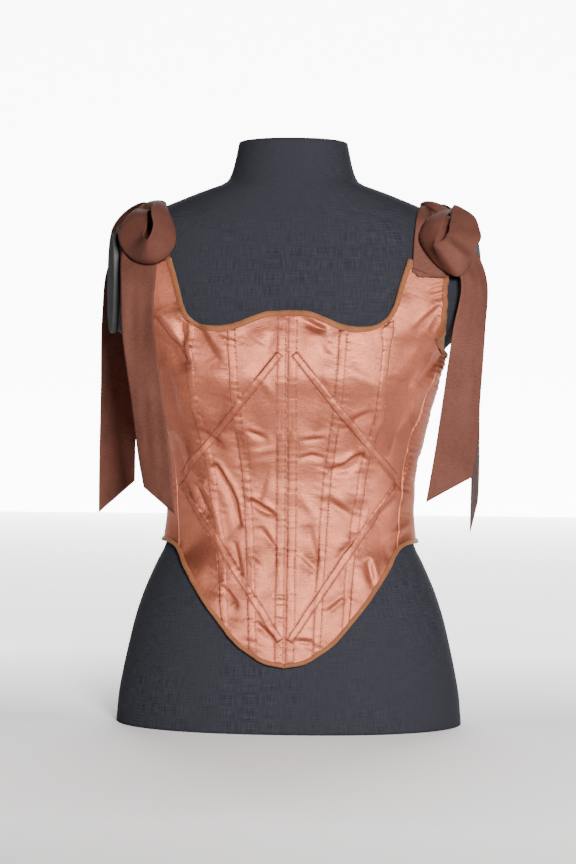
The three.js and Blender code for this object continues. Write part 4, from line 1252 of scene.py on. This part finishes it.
# The knots: the ribbon drawn once round itself on the ridge of the shoulder, small and almost hidden between
# the two loops, with folds that run round it.
def knot_grid(side):
    centre = over_shoulder(np.array(KNOT["x"], float), np.array(np.pi / 2), np.array(KNOT["height"], float))

    def points(u, v):
        around, over = 2 * np.pi * v, np.pi * (u * 0.998 + 0.001)
        swell = 1 + 0.05 * np.sin(9 * around + 2 * over) * np.sin(over)
        x = KNOT["half_x"] * np.cos(over)
        y = KNOT["half_y"] * np.sin(over) * np.cos(around) * swell
        z = KNOT["half_z"] * np.sin(over) * np.sin(around) * swell
        cos, sin = math.cos(KNOT["tilt"]), math.sin(KNOT["tilt"])
        turned = np.stack([x * cos + z * sin, y, z * cos - x * sin], -1)
        return (turned + centre) * (side, 1, 1)

    return points


for letter, side in SIDES:
    piece = cloth_mesh(f"knot_{letter}", 36, 64, knot_grid(side))
    mend_ring(piece, 2e-5)
    with reworked(piece) as bm:
        bmesh.ops.edgeloop_fill(bm, edges=[edge for edge in bm.edges if edge.is_boundary])
        bmesh.ops.recalc_face_normals(bm, faces=bm.faces)
    piece.data.materials.append(RIBBON)
    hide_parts(f"bow_knot_{letter}")
    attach(piece, "root")

# The tails: two long ends of the same ribbon hang from each knot, one before and one behind the arm plate,
# with slantwise cut ends. Where no depth is given the ribbon still lies on the form.
TAIL_HEIGHT, TAIL_BEND, TAIL_TWIST, TAIL_DENT = 5, 2.2, 1.4, 0.5
TAILS = {
    "front_l": (
        [(-157, 507), (-163, 492), (-168, 475), (-168, 440, -76), (-167, 395, -72), (-158, 328, -68),
         (-150, 267, -64), (-145, 240, -63)],
        [(-128, 512), (-127, 496), (-130, 470), (-134, 428, -87), (-133, 397, -88), (-125, 336, -87),
         (-117, 272, -84), (-112, 214, -83)],
    ),
    "front_r": (
        [(154, 519), (161, 508), (172, 490), (186, 474), (198, 448, -51), (196, 398, -55), (191, 325, -64),
         (189, 290, -70), (183, 253, -72)],
        [(144, 522), (139, 511), (143, 494), (155, 476), (171, 448, -76), (163, 398, -82), (153, 325, -82),
         (147, 283, -77), (138, 228, -74)],
    ),
    "back_l": (
        [(-160, 507), (-178, 492), (-200, 470, 66), (-206, 420, 70), (-207, 340, 72), (-208, 270, 72),
         (-208, 209, 71)],
        [(-134, 514), (-146, 497), (-163, 468, 79), (-168, 420, 84), (-169, 345, 84), (-170, 275, 82),
         (-170, 243, 80)],
    ),
    "back_r": (
        [(160, 507), (178, 492), (197, 465, 54), (197, 400, 50), (196, 320, 50), (196, 250, 50),
         (195, 226, 50)],
        [(134, 514), (146, 497), (172, 464, 82), (189, 400, 90), (191, 320, 90), (190, 250, 90),
         (189, 192, 90)],
    ),
}


def tail_edge(rows, behind):
    points = []
    for row in rows:
        if len(row) == 3:
            points.append((row[0], row[2], row[1]))
        else:
            x, z = row
            points.append(above(np.sign(x) * turn_at(x, z, behind), float(z), TAIL_HEIGHT))
    line = smooth_line(points, 20)
    even = np.linspace(0, 1, len(line))
    return lambda t: np.stack([np.interp(t, even, line[:, k]) for k in range(3)], -1)


def tail_grid(rows, behind, seed):
    outer, inner = tail_edge(rows[0], behind), tail_edge(rows[1], behind)

    def points(u, v):
        place = outer(v) + (inner(v) - outer(v)) * u[:, None]
        free = np.clip((v - 0.3) / 0.3, 0, 1)
        bend = TAIL_BEND * np.sin(2.6 * np.pi * v + seed) * np.sin(np.pi * u)
        twist = TAIL_TWIST * np.cos(np.pi * u + seed) * v
        dent = TAIL_DENT * np.sin(5 * np.pi * u + 9 * v + seed) * np.sin(11 * v + 2 * seed)
        place[:, 1] += ((bend + twist) * free + dent * np.clip(v * 4, 0, 1)) * (1 if behind else -1)
        return place

    return points


for key, rows in TAILS.items():
    where, letter = key.split("_")
    behind = where == "back"
    grid = tail_grid(rows, behind, len(key) + (2.1 if letter == "r" else 0.4))
    piece = cloth_mesh(f"ribbon_tail_{key}", 20, 130, grid, RIBBON_WALL)
    face_out(piece, (0, 0, 350))
    cut_cloth(piece, grid, RIBBON, [f"tail_{key}"])

# The studio: a pale floor, a bright pale wall behind, one lamp from the upper right and soft fill. The floor
# darkens in front of the camera and glows behind the form, to run into the wall.
FLOOR_SIZE, WALL_SHAPE, WALL_DISTANCE, WALL_GLOW = 6.0, (0.42, 0.7, 1), 5.5, 9.0
FLOOR_DARK_TO, FLOOR_PALE_FROM = -1.2, -0.6
FLOOR_GLOW_FROM, FLOOR_GLOW_FULL, FLOOR_GLOW = 0.0, 0.7, 1.6


def studio_plane(name, material):
    bm = bmesh.new()
    bmesh.ops.create_grid(bm, x_segments=1, y_segments=1, size=FLOOR_SIZE)
    if name == "wall":
        bmesh.ops.scale(bm, vec=WALL_SHAPE, verts=bm.verts)
        bmesh.ops.rotate(bm, cent=(0, 0, 0), matrix=Matrix.Rotation(math.pi / 2, 3, "X"), verts=bm.verts)
        bmesh.ops.translate(bm, vec=(0, WALL_DISTANCE, 0), verts=bm.verts)
    made(name, bm, material)


def floor_finish():
    finish = Finish("pale floor")
    places = finish.places(False)
    pale = finish.blend(finish.noise(places, 3.0), 0.3, 0.7, (0.86, 0.86, 0.86), (0.90, 0.90, 0.90))
    back = finish.node("ShaderNodeSeparateXYZ", {}, {"Vector": places}, output=1)
    pale = finish.blend(back, FLOOR_DARK_TO, FLOOR_PALE_FROM, (0.05, 0.05, 0.05), pale)
    glow = finish.blend(back, FLOOR_GLOW_FROM, FLOOR_GLOW_FULL, (0, 0, 0), (1, 1, 1))
    return finish.surface(Base_Color=pale, Emission_Color=glow, Emission_Strength=FLOOR_GLOW, Roughness=0.9)


def wall_finish():
    pale, white = (0.9, 0.9, 0.9, 1), (1, 1, 1, 1)
    finish = Finish("pale wall")
    return finish.surface(Base_Color=pale, Emission_Color=white, Emission_Strength=WALL_GLOW, Roughness=0.9)


studio_plane("floor", floor_finish())
studio_plane("wall", wall_finish())
world = bpy.data.worlds.new("studio")
bpy.context.scene.world = world
world.use_nodes = True
background = world.node_tree.nodes["Background"]
background.inputs["Color"].default_value = (1, 1, 1, 1)
background.inputs["Strength"].default_value = 0.05


def lamp(name, place, aim, size, power, colour=(1, 1, 1)):
    light = bpy.data.lights.new(name, "AREA")
    light.shape, light.size, light.energy, light.color = "SQUARE", size, power, colour
    thing = bpy.data.objects.new(name, light)
    thing.location = place
    thing.rotation_euler = (Vector(aim) - Vector(place)).to_track_quat("-Z", "Y").to_euler()
    bpy.context.scene.collection.objects.link(thing)


lamp("key", (0.55, -2.35, 0.8), (0, 0, 0.33), 0.45, 146, (1.0, 0.97, 0.95))
lamp("fill", (1.7, -1.2, 0.8), (0, 0, 0.3), 0.5, 9)

# The camera: level, 2.2 m away and a little to the viewer's right, as the photograph was taken.
CAMERA = {"distance": 2.2, "azimuth": math.radians(2.5), "height": 0.2966, "aside": -0.0031}
LENS, ROLL = 89.0, math.radians(-0.5)
camera_data = bpy.data.cameras.new("camera")
camera_data.sensor_fit = "VERTICAL"
camera_data.sensor_height = 36
camera_data.lens = LENS
camera = bpy.data.objects.new("camera", camera_data)
bpy.context.scene.collection.objects.link(camera)
sideways = Vector((math.cos(CAMERA["azimuth"]), math.sin(CAMERA["azimuth"]), 0))
away = Vector((math.sin(CAMERA["azimuth"]), -math.cos(CAMERA["azimuth"]), 0))
camera.location = away * CAMERA["distance"] + sideways * CAMERA["aside"] + Vector((0, 0, CAMERA["height"]))
camera.rotation_euler = (math.pi / 2, ROLL, CAMERA["azimuth"])
bpy.context.scene.camera = camera
